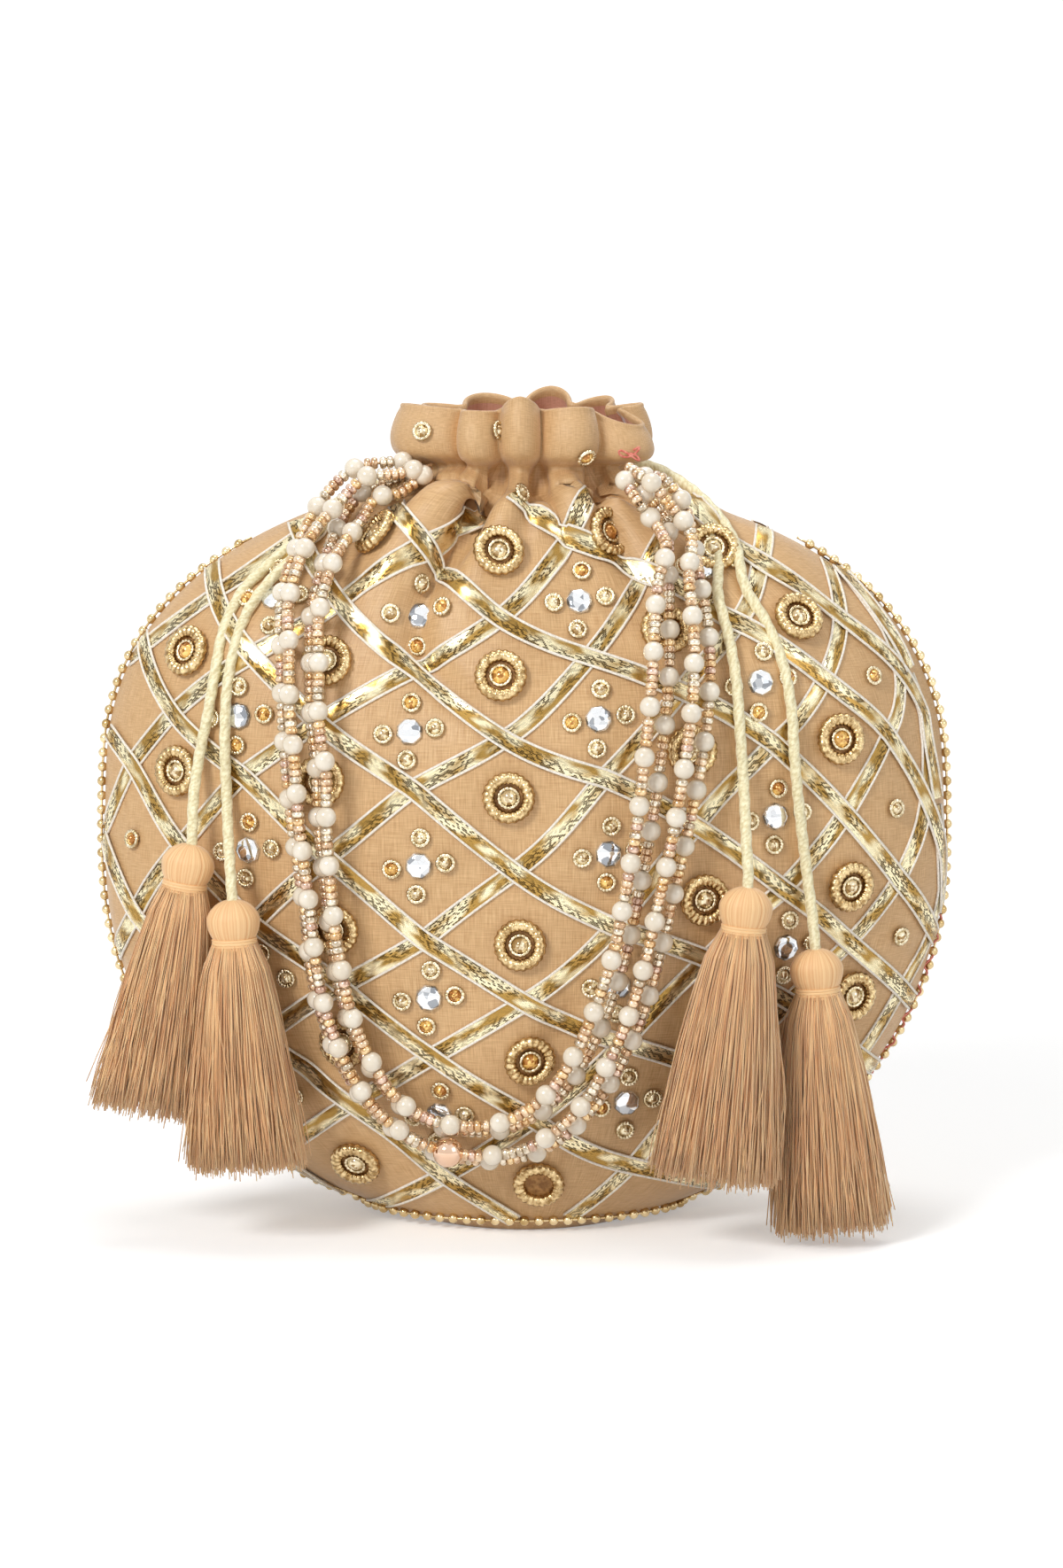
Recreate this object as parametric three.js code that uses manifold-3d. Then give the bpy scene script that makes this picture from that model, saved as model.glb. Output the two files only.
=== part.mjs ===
// Potli bag: two round embroidered panels round a soft hollow, a gathered mouth with a ruffle,
// an edge of small gilt balls, tasselled drawcords and a carrying handle of four bead strands.
// Millimetres, +Z up. The front faces -Y, the bag stands on z = 0, and the origin is under its middle.
import * as THREE from 'three';
import { mergeVertices } from 'three/addons/utils/BufferGeometryUtils.js';
import Module from 'manifold-3d';

const wasm = await Module();
wasm.setup();

// Stuffed body
const BODY_WIDTH = 249;
const BODY_DEPTH = 104;
const WIDEST_HEIGHT = 110;
const SHOULDER_HEIGHT = 213;
// How far the round outline would reach below the flat base, seen from the front and from the side
const BASE_CUT_FRONT = 4;
const BASE_CUT_SIDE = 16;

// Drawn neck and ruffle
const NECK_HEIGHT = 222;
const NECK_WIDTH = 64;
const NECK_DEPTH = 36;
const RUFFLE_HEIGHT = 19;
const RUFFLE_FLARE = 5;
const GATHERS = 10;
const GATHER_DEPTH = 3.2;
const GATHER_LENGTH = 45;

// Cloth
const CLOTH = 1.5;
const BASE_CLOTH = 14;
const LINING_CLOTH = 0.8;
const LINING_HEM = 3;
const GAP = 0.3;

// Embroidery: medallions and mirror clusters on a lattice of woven ribbon
const COLUMN_PITCH = 27.6;
const ROW_LEVELS = [17, 55, 89, 132, 166, 199];
const COLUMN_LEAN = 0.075;
const COLUMN_SHIFT = -2;
const LIFT_RIGHT = 14;
const LIFT_LEFT = 4;
const DRAW_IN = 0.3;
// The columns lean about one height and draw in over the stretch above another
const LEAN_HEIGHT = 100;
const DRAW_IN_HEIGHT = 150;
const DRAW_IN_LENGTH = 60;
const RIBBON_WIDTH = 5;
const RIBBON_THICKNESS = 0.6;
const RIBBON_CLEARANCE = 0.5;
// How far under the neck each kind of ornament stops
const RIBBON_DROP = 25;
const MEDALLION_DROP = 21;
const MIRROR_DROP = 27;
const RIBBON_FOOT = 9;
const SEAM_MARGIN = 7;
const MOTIF_GAP = 0.1;

const MEDALLION_DIAMETER = 16;
const MEDALLION_HEIGHT = 2.4;
const STONE_DIAMETER = 6.4;
const MIRROR_DIAMETER = 8.4;
const MIRROR_THICKNESS = 1.4;

// Edge of gilt balls
const BALL_DIAMETER = 3;
const BALL_PITCH = 4.5;
const BALL_THREAD = 1;
const BALLS_START = 201;
const BALLS_FOOT = 4;

// Bead handle and drawcords
const STRAND_DIAMETER = 6;
const STRANDS = 4;
const STRAND_LAYER = 5.9;
const STRAND_LIFT = 3.2;
// The strands rise a little more over the gathers under the neck
const STRAND_RISE = 1.6;
const STRAND_RISE_HEIGHT = 185;
const STRAND_RISE_LENGTH = 15;
const HANDLE_BALL_DIAMETER = 8.8;
const HANDLE_BALL_AT = 0.5;
const CORD_DIAMETER = 3.3;
const CORD_SIDES = 8;

// Tassels
const TASSEL_HEAD = 15.2;
const TASSEL_WAIST = 12.6;
const TASSEL_HEAD_LENGTH = 13;
const TASSEL_FLATNESS = 0.55;

const material = (color, roughness, metalness) =>
  new THREE.MeshStandardMaterial({ color, roughness, metalness });
const tissue = material(0xe3b98a, 0.6, 0.05);
const pinkCloth = material(0xd9a08a, 0.85, 0);
const gilt = material(0xc9a667, 0.3, 1);
const ribbonGold = material(0xdcc48c, 0.35, 0.8);
const mirrorGlass = material(0xdfe3e8, 0.05, 1);
const satin = material(0xf0e6b8, 0.55, 0);
const pearl = material(0xf1e8da, 0.25, 0);
const thread = material(0xd9a474, 0.9, 0);

const bag = new THREE.Group();

function addMesh(geometry, finish, name) {
  const mesh = new THREE.Mesh(geometry, finish);
  mesh.name = name;
  bag.add(mesh);
  return mesh;
}

function smoothstep(value) {
  const t = Math.min(1, Math.max(0, value));
  return t * t * (3 - 2 * t);
}

// Outline of the stuffed body: a rounded curve on each side of the widest height
function bodyHalfWidth(z) {
  const below = (WIDEST_HEIGHT - z) / (WIDEST_HEIGHT + BASE_CUT_FRONT);
  const above = (z - WIDEST_HEIGHT) / (SHOULDER_HEIGHT - WIDEST_HEIGHT);
  const share = z < WIDEST_HEIGHT ? below ** 2.2 : above ** 3;
  return (BODY_WIDTH / 2) * Math.sqrt(Math.max(0, 1 - share));
}

function bodyHalfDepth(z) {
  if (z < WIDEST_HEIGHT) {
    const below = (WIDEST_HEIGHT - z) / (WIDEST_HEIGHT + BASE_CUT_SIDE);
    return (BODY_DEPTH / 2) * Math.sqrt(1 - below ** 2.6);
  }
  const above = (z - WIDEST_HEIGHT) / (SHOULDER_HEIGHT - WIDEST_HEIGHT);
  return (BODY_DEPTH / 2) * Math.max(0, 1 - above ** 2.4) ** 0.6;
}

// The neck is a tube that flares above the cord; a cubic mean rounds it into the shoulders
function withNeck(bodySize, neckSize, z) {
  const flare = RUFFLE_FLARE * (Math.max(0, z - NECK_HEIGHT) / RUFFLE_HEIGHT) ** 1.5;
  const neck = z > WIDEST_HEIGHT ? (neckSize / 2 + flare) * smoothstep((z - WIDEST_HEIGHT) / 40) : 0;
  return Math.cbrt(bodySize ** 3 + neck ** 3);
}

const halfWidth = (z) => withNeck(bodyHalfWidth(z), NECK_WIDTH, z);
const halfDepth = (z) => withNeck(bodyHalfDepth(z), NECK_DEPTH, z);

// Ungathered cloth. Angle 0 is the right seam, a quarter turn is the middle of the front.
// Each level is a lens that grows oval towards the neck.
function smoothCloth(angle, z) {
  const lens = 1.24 - 0.24 * smoothstep((z - SHOULDER_HEIGHT + 33) / 35);
  const bulge = Math.abs(Math.sin(angle)) ** lens * Math.sign(Math.sin(angle));
  return new THREE.Vector3(halfWidth(z) * Math.cos(angle), -halfDepth(z) * bulge, z);
}

function outward(surface, angle, z) {
  const across = surface(angle + 0.02, z).sub(surface(angle - 0.02, z));
  const upwards = surface(angle, z + 0.5).sub(surface(angle, z - 0.5));
  return upwards.cross(across).normalize();
}

// Gathers fade in below the cord and open into the ruffle's lobes above it
function gatheredCloth(angle, z) {
  const drawn = smoothstep((z - NECK_HEIGHT + GATHER_LENGTH) / GATHER_LENGTH);
  const opened = 1 + 0.4 * Math.max(0, z - NECK_HEIGHT) / RUFFLE_HEIGHT;
  const lobe = Math.cos(GATHERS * angle - 0.8 * Math.PI * 2);
  const point = smoothCloth(angle, z);
  return point.addScaledVector(outward(smoothCloth, angle, z), GATHER_DEPTH * drawn * opened * lobe);
}

function offsetCloth(surface, angle, z, distance) {
  return surface(angle, z).addScaledVector(outward(surface, angle, z), distance);
}

// A closed skin through rings of equally many points, with a flat fan over its first and last ring
function skin(rings) {
  const count = rings[0].length;
  const positions = [];
  const indices = [];
  for (const ring of rings) for (const point of ring) positions.push(point.x, point.y, point.z);
  for (const ring of [rings[0], rings.at(-1)]) {
    const middle = new THREE.Vector3();
    for (const point of ring) middle.addScaledVector(point, 1 / count);
    positions.push(middle.x, middle.y, middle.z);
  }
  const first = rings.length * count;
  for (let j = 0; j < count; j++) {
    const next = (j + 1) % count;
    for (let i = 0; i < rings.length - 1; i++) {
      const low = i * count;
      const high = low + count;
      indices.push(low + j, high + j, high + next, low + j, high + next, low + next);
    }
    const last = first - count;
    indices.push(first, j, next, first + 1, last + next, last + j);
  }
  const geometry = new THREE.BufferGeometry();
  geometry.setAttribute('position', new THREE.Float32BufferAttribute(positions, 3));
  geometry.setIndex(indices);
  return geometry;
}

function toSolid(geometry) {
  const bare = geometry.clone();
  bare.deleteAttribute('normal');
  bare.deleteAttribute('uv');
  const merged = mergeVertices(bare, 1e-4);
  const vertProperties = new Float32Array(merged.attributes.position.array);
  const triVerts = new Uint32Array(merged.index.array);
  return new wasm.Manifold(new wasm.Mesh({ numProp: 3, vertProperties, triVerts }));
}

function toGeometry(solid) {
  const mesh = solid.getMesh();
  const geometry = new THREE.BufferGeometry();
  geometry.setAttribute('position', new THREE.Float32BufferAttribute(mesh.vertProperties, 3));
  geometry.setIndex(Array.from(mesh.triVerts));
  return geometry;
}

// Heights of the rings that the cloth is lofted through, closer together where it bends more
function bodyLevels(below, above) {
  const levels = [];
  for (let i = 0; i <= below; i++) {
    levels.push(WIDEST_HEIGHT * (1 - Math.cos((i / below) * Math.PI / 2)));
  }
  for (let i = 1; i <= above; i++) {
    levels.push(WIDEST_HEIGHT + (SHOULDER_HEIGHT - WIDEST_HEIGHT) * Math.sin((i / above) * Math.PI / 2));
  }
  return levels;
}

const RIM_HEIGHT = NECK_HEIGHT + RUFFLE_HEIGHT;
const mouthLevels = [NECK_HEIGHT, NECK_HEIGHT + RUFFLE_HEIGHT * 0.4, RIM_HEIGHT];

function ring(surface, columns, z, distance) {
  const points = [];
  for (let j = 0; j < columns; j++) {
    points.push(offsetCloth(surface, (j / columns) * Math.PI * 2, z, distance));
  }
  return points;
}

// Outer bag: the stitched panels, neck and ruffle as one open vessel of cloth
const BAG_COLUMNS = GATHERS * 4;

function bagShell() {
  const outer = [...bodyLevels(6, 6), ...mouthLevels];
  const inner = [...bodyLevels(3, 6).filter((z) => z > BASE_CLOTH), ...mouthLevels].reverse();
  const rings = outer.map((z) => ring(gatheredCloth, BAG_COLUMNS, z, 0));
  rings.push(...inner.map((z) => ring(gatheredCloth, BAG_COLUMNS, z, -CLOTH)));
  rings.push(ring(gatheredCloth, BAG_COLUMNS, BASE_CLOTH, -CLOTH));
  for (const point of rings.at(-1)) point.z = BASE_CLOTH;
  for (const point of rings[0]) point.z = 0;
  return skin(rings);
}

// The lining hangs inside from just under the rim, without the gathers of the outer cloth
const LINING_COLUMNS = 20;

function liningShell() {
  const hem = RIM_HEIGHT - LINING_HEM;
  const inside = -CLOTH - GAP - 0.7;
  const share = (z) => smoothstep((z - NECK_HEIGHT + GATHER_LENGTH) / GATHER_LENGTH);
  const drawn = (z) => inside - GATHER_DEPTH * 1.4 * share(z);
  const levels = [...bodyLevels(3, 6).filter((z) => z > BASE_CLOTH), NECK_HEIGHT, hem];
  const rings = [ring(smoothCloth, LINING_COLUMNS, BASE_CLOTH + GAP, inside)];
  rings.push(...levels.map((z) => ring(smoothCloth, LINING_COLUMNS, z, drawn(z))));
  rings.push(...[...levels].reverse().map((z) => ring(smoothCloth, LINING_COLUMNS, z, drawn(z) - LINING_CLOTH)));
  rings.push(ring(smoothCloth, LINING_COLUMNS, BASE_CLOTH, inside - LINING_CLOTH));
  for (const point of rings[0]) point.z = BASE_CLOTH + GAP;
  for (const point of rings.at(-1)) point.z = BASE_CLOTH + GAP + LINING_CLOTH;
  return skin(rings);
}

// Height of an embroidered row on the middle column; rows beyond the list go on at its end pitch
function rowHeight(row) {
  const last = ROW_LEVELS.length - 1;
  const index = Math.min(last - 1, Math.max(0, Math.floor(row)));
  return THREE.MathUtils.lerp(ROW_LEVELS[index], ROW_LEVELS[index + 1], row - index);
}

// A place of the embroidery, in columns from the middle and rows from the base up.
// Columns close up round the sides, lean a little, and draw in towards the neck.
function embroideryPlace(column, row) {
  const lift = column > 0 ? LIFT_RIGHT * smoothstep(column / 2.5) : LIFT_LEFT * smoothstep(-column / 2.5);
  const z = rowHeight(row) + lift;
  const radius = BODY_WIDTH / 2;
  const turn = Math.min(1.5, Math.max(-1.5, (column * COLUMN_PITCH) / radius));
  const round = radius * Math.sin(turn);
  const drawn = 1 - DRAW_IN * (Math.max(0, z - DRAW_IN_HEIGHT) / DRAW_IN_LENGTH) ** 1.4;
  return { x: (round + COLUMN_SHIFT - COLUMN_LEAN * (z - LEAN_HEIGHT)) * drawn, z };
}

const insideSeam = ({ x, z }, margin) => halfWidth(z) - Math.abs(x) - margin;

// The cloth point at x and z on one side, moved outward by a distance; side is 1 in front and -1 behind
function overCloth({ x, z }, side, distance) {
  const angle = side * Math.acos(Math.min(0.999, Math.max(-0.999, x / halfWidth(z))));
  const point = offsetCloth(gatheredCloth, angle, z, distance);
  return { point, normal: outward(gatheredCloth, angle, z) };
}

// The ribbons of one side as a single net. It is laid out in lattice units, where ribbons cross at whole
// numbers (column, level) whose sum is odd and a level is half a row, then bent over the cloth.
const MEAN_ROW = (ROW_LEVELS.at(-1) - ROW_LEVELS[0]) / (ROW_LEVELS.length - 1);
const RIBBON_ANGLE = Math.atan2(MEAN_ROW / 2, COLUMN_PITCH);
const CROSSING_REACH = RIBBON_WIDTH / 2 / Math.sin(RIBBON_ANGLE) / COLUMN_PITCH;

function ribbonRoom(column, level) {
  const place = embroideryPlace(column, level / 2);
  return Math.min(insideSeam(place, SEAM_MARGIN), place.z - RIBBON_FOOT, NECK_HEIGHT - RIBBON_DROP - place.z);
}

// Share of the way to the next crossing that a ribbon runs before it meets the panel's edge
function ribbonShare(column, level, stepColumn, stepLevel) {
  let share = 0;
  for (let step = 0.5; step > 0.01; step /= 2) {
    const next = share + step;
    if (ribbonRoom(column + stepColumn * next, level + stepLevel * next) > 0) share = next;
  }
  return share;
}

// Flat four-cornered tiles of the net: one at each crossing and a few along each stretch between two
function latticeTiles() {
  const tiles = [];
  const reach = CROSSING_REACH;
  for (let column = -7; column <= 7; column++) {
    for (let level = -3; level <= 2 * ROW_LEVELS.length + 2; level++) {
      if ((column + level) % 2 === 0 || ribbonRoom(column, level) <= RIBBON_WIDTH) continue;
      tiles.push([[column + reach, level], [column, level + reach], [column - reach, level],
        [column, level - reach]]);
      for (const stepColumn of [1, -1]) {
        for (const stepLevel of [1, -1]) {
          const whole = ribbonRoom(column + stepColumn, level + stepLevel) > RIBBON_WIDTH;
          if (whole && stepColumn < 0) continue;
          const share = whole ? 1 : ribbonShare(column, level, stepColumn, stepLevel);
          if (share < 0.25) continue;
          const { z } = embroideryPlace(column + stepColumn / 2, (level + stepLevel / 2) / 2);
          const bent = Math.abs(z - WIDEST_HEIGHT) > 0.55 * WIDEST_HEIGHT;
          const pieces = Math.max(1, Math.round((bent ? 3 : 2) * share));
          const corner = (first, part) => {
            const way = (part / pieces) * share * (1 - reach);
            return first
              ? [column + stepColumn * (reach + way), level + stepLevel * way]
              : [column + stepColumn * way, level + stepLevel * (reach + way)];
          };
          for (let i = 0; i < pieces; i++) {
            const tile = [corner(true, i), corner(true, i + 1), corner(false, i + 1), corner(false, i)];
            tiles.push(stepColumn * stepLevel > 0 ? tile : tile.reverse());
          }
        }
      }
    }
  }
  return tiles;
}

function ribbonLattice(side) {
  const positions = [];
  const indices = [];
  const corners = new Map();
  const corner = ([column, level]) => {
    const key = `${column.toFixed(3)} ${level.toFixed(3)}`;
    if (!corners.has(key)) {
      corners.set(key, positions.length / 6);
      const { point, normal } = overCloth(embroideryPlace(column, level / 2), side, RIBBON_CLEARANCE);
      positions.push(...point, ...point.addScaledVector(normal, RIBBON_THICKNESS));
    }
    return corners.get(key);
  };
  const edges = new Map();
  for (const tile of latticeTiles()) {
    const [a, b, c, d] = side > 0 ? tile.map(corner) : tile.map(corner).reverse();
    for (const [p, q, r] of [[a, b, c], [a, c, d]]) {
      indices.push(2 * p + 1, 2 * q + 1, 2 * r + 1, 2 * p, 2 * r, 2 * q);
    }
    for (const [p, q] of [[a, b], [b, c], [c, d], [d, a]]) {
      if (!edges.delete(`${q} ${p}`)) edges.set(`${p} ${q}`, [p, q]);
    }
  }
  for (const [p, q] of edges.values()) {
    indices.push(2 * p, 2 * q, 2 * q + 1, 2 * p, 2 * q + 1, 2 * p + 1);
  }
  const geometry = new THREE.BufferGeometry();
  geometry.setAttribute('position', new THREE.Float32BufferAttribute(positions, 3));
  geometry.setIndex(indices);
  return geometry;
}

// Motifs sit in the diamonds: medallions on even columns and mirrors on odd ones, half a row up
function motifPlaces(columns, firstRow, margin, drop) {
  const places = [];
  const top = NECK_HEIGHT - drop;
  for (const column of columns) {
    for (let row = firstRow; row <= ROW_LEVELS.length; row++) {
      const place = embroideryPlace(column, row);
      if (insideSeam(place, margin) > 0 && place.z > 10 && place.z < top) places.push({ column, row });
    }
  }
  return places;
}

const medallionPlaces = motifPlaces([0, -2, 2, -4, 4], 0, MEDALLION_DIAMETER / 2, MEDALLION_DROP);
const mirrorPlaces = [
  ...motifPlaces([-1, 1], 0.5, MIRROR_DIAMETER, MIRROR_DROP),
  ...motifPlaces([-3, 3], 1.5, MIRROR_DIAMETER, MIRROR_DROP),
];

function seat(mesh, place, side, distance) {
  const { point, normal } = overCloth(place, side, distance);
  mesh.position.copy(point);
  mesh.quaternion.setFromUnitVectors(new THREE.Vector3(0, 0, 1), normal);
  mesh.updateMatrix();
}

// A turned shape about its own +Z
function turned(profile, sides) {
  const points = profile.map(([radius, height]) => new THREE.Vector2(radius, height));
  return new THREE.LatheGeometry(points, sides).rotateX(Math.PI / 2);
}

// Medallion: a fluted ring round a set stone; one has lost its stone and is a bare ring
function medallion(withStone) {
  const radius = MEDALLION_DIAMETER / 2;
  const stone = STONE_DIAMETER / 2;
  const rim = MEDALLION_HEIGHT * 0.7;
  const profile = withStone
    ? [[0, 0], [radius, 0], [radius * 0.86, rim], [stone * 1.25, rim * 0.5], [0, MEDALLION_HEIGHT]]
    : [[stone, 0], [radius, 0], [radius * 0.86, rim], [stone, rim * 0.6], [stone, 0]];
  return turned(profile, 10);
}

const mirror = turned([[0, 0], [MIRROR_DIAMETER / 2, 0], [MIRROR_DIAMETER / 2.6, MIRROR_THICKNESS],
  [0, MIRROR_THICKNESS]], 6);

// The seam runs down each side and along the front edge of the base; it is moved out by a distance
function seamOutline(distance) {
  const steps = 120;
  const side = [];
  for (let i = 0; i < steps; i++) {
    const z = BALLS_FOOT + (BALLS_START - BALLS_FOOT) * Math.sin((1 - i / steps) * Math.PI / 2) ** 2;
    const slope = halfWidth(z + 0.25) - halfWidth(z - 0.25);
    const normal = new THREE.Vector2(0.5, -slope).normalize();
    side.push(new THREE.Vector3(halfWidth(z) + normal.x * distance, 0, z + normal.y * distance));
  }
  const foot = [];
  for (let i = 1; i < 12; i++) foot.push(offsetCloth(smoothCloth, (i / 12) * Math.PI, BALLS_FOOT, distance));
  const left = side.map((point) => new THREE.Vector3(-point.x, 0, point.z)).reverse();
  return new THREE.CatmullRomCurve3([...side, ...foot, ...left]);
}

const seamPath = seamOutline(BALL_DIAMETER / 2 + GAP);

// A string of low-sided balls: wide at each ball and as thin as the thread between them
function ballEdge() {
  const balls = Math.round(seamPath.getLength() / BALL_PITCH);
  seamPath.arcLengthDivisions = 2000;
  const rings = [];
  for (let i = 0; i < 2 * balls - 1; i++) {
    const share = (i + 0.5) / (2 * balls);
    const middle = seamPath.getPointAt(share);
    const along = seamPath.getTangentAt(share);
    const radius = i % 2 === 0 ? BALL_DIAMETER / 2 : BALL_THREAD / 2;
    const out = new THREE.Vector3(0, 1, 0).cross(along).normalize();
    const round = [];
    for (const [y, r] of [[-1, 0], [0, -1], [1, 0], [0, 1]]) {
      round.push(middle.clone().addScaledVector(out, r * radius).add(new THREE.Vector3(0, y * radius, 0)));
    }
    rings.push(round);
  }
  return skin(rings);
}

addMesh(bagShell(), tissue, 'outer_bag');
addMesh(liningShell(), pinkCloth, 'lining');
addMesh(ballEdge(), gilt, 'edge_ball_chain');
addMesh(ribbonLattice(1), ribbonGold, 'front_ribbon_lattice');
addMesh(ribbonLattice(-1), ribbonGold, 'back_ribbon_lattice');

const count = (index) => String(index + 1).padStart(2, '0');
const BARE_RING = medallionPlaces.findIndex(({ column, row }) => column === 0 && row === 0);
medallionPlaces.forEach(({ column, row }, i) => {
  const mesh = addMesh(medallion(i !== BARE_RING), gilt, `front_medallion_${count(i)}`);
  seat(mesh, embroideryPlace(column, row), 1, MOTIF_GAP);
});
mirrorPlaces.forEach(({ column, row }, i) => {
  const mesh = addMesh(mirror, mirrorGlass, `front_mirror_${count(i)}`);
  seat(mesh, embroideryPlace(column, row), 1, MOTIF_GAP);
});

// The point over the cloth, at a given height above it, that shows at x and z from the front
function restingAt(x, z, height) {
  const foot = { x, z };
  for (let turn = 0; turn < 12; turn++) {
    const { point } = overCloth(foot, 1, height);
    foot.x += 0.7 * (x - point.x);
    foot.z = Math.max(0.5, foot.z + 0.7 * (z - point.z));
  }
  return overCloth(foot, 1, height);
}

// Routes are points [x, z] seen from the front, with y as well where a point is clear of the cloth.
// The handle's inner strand and its outer one; the other two lie between them.
const INNER_STRAND = [
  [-39, 216, -13], [-44.5, 214.5, -14], [-50, 206, -18], [-54, 195], [-57, 181], [-57, 167],
  [-57, 153], [-55, 139], [-55, 124], [-54, 110], [-53, 97], [-51, 84], [-48, 70], [-42, 56],
  [-34, 45], [-21, 39], [-6, 40], [6, 48], [14, 60], [20, 74], [25, 90], [28, 106], [31, 124],
  [33, 142], [35, 160], [36, 176], [37, 190], [38, 200], [38.5, 207.5, -26], [34, 213, -26],
];
const OUTER_STRAND = [
  [-39, 226, -13], [-49, 223.5, -14], [-58, 215.5, -17], [-65, 203], [-70, 188], [-70, 173],
  [-69.5, 158], [-68.5, 142], [-67, 127], [-65, 112], [-63, 98], [-61.5, 82], [-58, 66.5],
  [-51, 50], [-40, 36], [-21, 26], [2, 27], [17, 38], [27, 53], [34, 69], [39, 87], [43, 105],
  [47, 123], [50.5, 141], [53, 160], [53, 177], [50.5, 193], [48.5, 205], [46, 214, -25.5],
  [40, 221, -24.5],
];
const LEFT_OUTER_CORD = [
  [-36, 221, 1], [-45, 216, 1], [-56, 211.8, -2], [-67, 202], [-75, 195], [-82, 188], [-87, 178],
  [-89.5, 166], [-91.5, 154], [-94, 142], [-95.5, 130, -39.5], [-96, 117.6, -42],
];
const LEFT_FRONT_CORD = [
  [-36, 216.8, 0.5], [-46, 213.9, -2.5], [-57, 207.7, -10], [-67, 198], [-75, 190], [-80.5, 182],
  [-84, 172], [-86, 160], [-86.5, 145], [-86, 130], [-85, 116, -46], [-84, 102.6, -50],
];
const RIGHT_INNER_CORD = [
  [36, 219, -4], [43, 216, -9], [50.5, 209.5, -14], [56, 199], [56, 188], [59, 176], [61, 164],
  [62, 150], [63, 136], [63.5, 121, -54], [64, 107.6, -58],
];
const RIGHT_FRONT_CORD = [
  [36, 223, 2], [44, 219.5, 1], [53, 213, -5], [61, 202.5], [64, 190], [70, 180], [74.5, 169],
  [77, 156], [78, 141], [79.5, 126], [81.5, 110], [83, 98, -43], [84, 87.6, -46],
];

const RIBBON_HEIGHT = RIBBON_CLEARANCE + RIBBON_THICKNESS;

// Height of a strand's underside over the cloth: over medallions, and over the drawcords at the shoulders
function strandHeight(z) {
  return STRAND_LIFT + STRAND_RISE * smoothstep((z - STRAND_RISE_HEIGHT) / STRAND_RISE_LENGTH);
}

function restingPoint([x, z, y], height) {
  return y === undefined ? restingAt(x, z, height).point : new THREE.Vector3(x, y, z);
}

const strandPoint = (spot) => restingPoint(spot, strandHeight(spot[1]) + STRAND_DIAMETER / 2);
const innerRoute = INNER_STRAND.map(strandPoint);
const outerRoute = OUTER_STRAND.map(strandPoint);

// Away from the bag, square to the handle's run and to the spread of its strands
function layerDirection(i) {
  const ahead = innerRoute[Math.min(i + 1, innerRoute.length - 1)];
  const behind = innerRoute[Math.max(i - 1, 0)];
  const spread = outerRoute[i].clone().sub(innerRoute[i]);
  return spread.cross(ahead.clone().sub(behind)).normalize();
}

function strandRoute(share, raised) {
  return INNER_STRAND.map((inner, i) => {
    const spot = inner.map((value, axis) => THREE.MathUtils.lerp(value, OUTER_STRAND[i][axis], share));
    const point = strandPoint(spot);
    return raised ? point.addScaledVector(layerDirection(i), STRAND_LAYER) : point;
  });
}

function cordRoute(points) {
  return points.map((spot) => restingPoint(spot, RIBBON_HEIGHT + GAP + CORD_DIAMETER / 2 + 0.4));
}

function tube(route, diameter, steps) {
  const round = new THREE.Shape().absarc(0, 0, diameter / 2, 0, Math.PI * 2);
  const curveSegments = CORD_SIDES / 2;
  const extrudePath = new THREE.CatmullRomCurve3(route, false, 'centripetal');
  return new THREE.ExtrudeGeometry(round, { steps, curveSegments, extrudePath });
}

const STRAND_STEPS = 24;
const CORD_STEPS = 11;

const strandRoutes = [];
for (let i = 0; i < STRANDS; i++) strandRoutes.push(strandRoute(i / (STRANDS - 1), i % 2 === 0));
strandRoutes.forEach((route, i) => {
  addMesh(tube(route, STRAND_DIAMETER, STRAND_STEPS), pearl, `handle_strand_${i + 1}`);
});

// The handle's one gilt ball is threaded on the third strand and clears the others
const BALL_STRAND = 2;

function handleBall() {
  const strand = new THREE.CatmullRomCurve3(strandRoutes[BALL_STRAND], false, 'centripetal');
  const middle = strand.getPoint(HANDLE_BALL_AT);
  const sphere = new THREE.SphereGeometry(HANDLE_BALL_DIAMETER / 2, 10, 8).translate(...middle);
  let ball = toSolid(sphere);
  for (const route of strandRoutes) {
    ball = ball.subtract(toSolid(tube(route, STRAND_DIAMETER + 2 * GAP, STRAND_STEPS)));
  }
  return toGeometry(ball);
}

// Tassel: a bound head over a flared skirt, flattened where it hangs against the bag
function tassel(length, skirtWidth) {
  const head = TASSEL_HEAD / 2;
  const waist = TASSEL_WAIST / 2;
  const below = (share) => -TASSEL_HEAD_LENGTH - share * (length - TASSEL_HEAD_LENGTH);
  const profile = [[0, -length], [skirtWidth / 2, -length], [skirtWidth * 0.44, below(0.75)],
    [skirtWidth * 0.34, below(0.35)], [waist + 2, below(0.08)], [waist, -TASSEL_HEAD_LENGTH], [waist, -11],
    [head, -6.5], [head * 0.7, -1.6], [0, 0]];
  return turned(profile, 10);
}

function addTassel(name, cord, foot, skirtWidth) {
  const [x, z, y] = cord.at(-1);
  const top = new THREE.Vector3(x, y, z - 0.6);
  const bottom = new THREE.Vector3(foot[0], y, foot[1]);
  const up = top.clone().sub(bottom);
  const mesh = addMesh(tassel(up.length(), skirtWidth), thread, name);
  mesh.geometry.scale(1, TASSEL_FLATNESS, 1);
  mesh.quaternion.setFromUnitVectors(new THREE.Vector3(0, 0, 1), up.normalize());
  mesh.position.copy(top);
}

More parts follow.
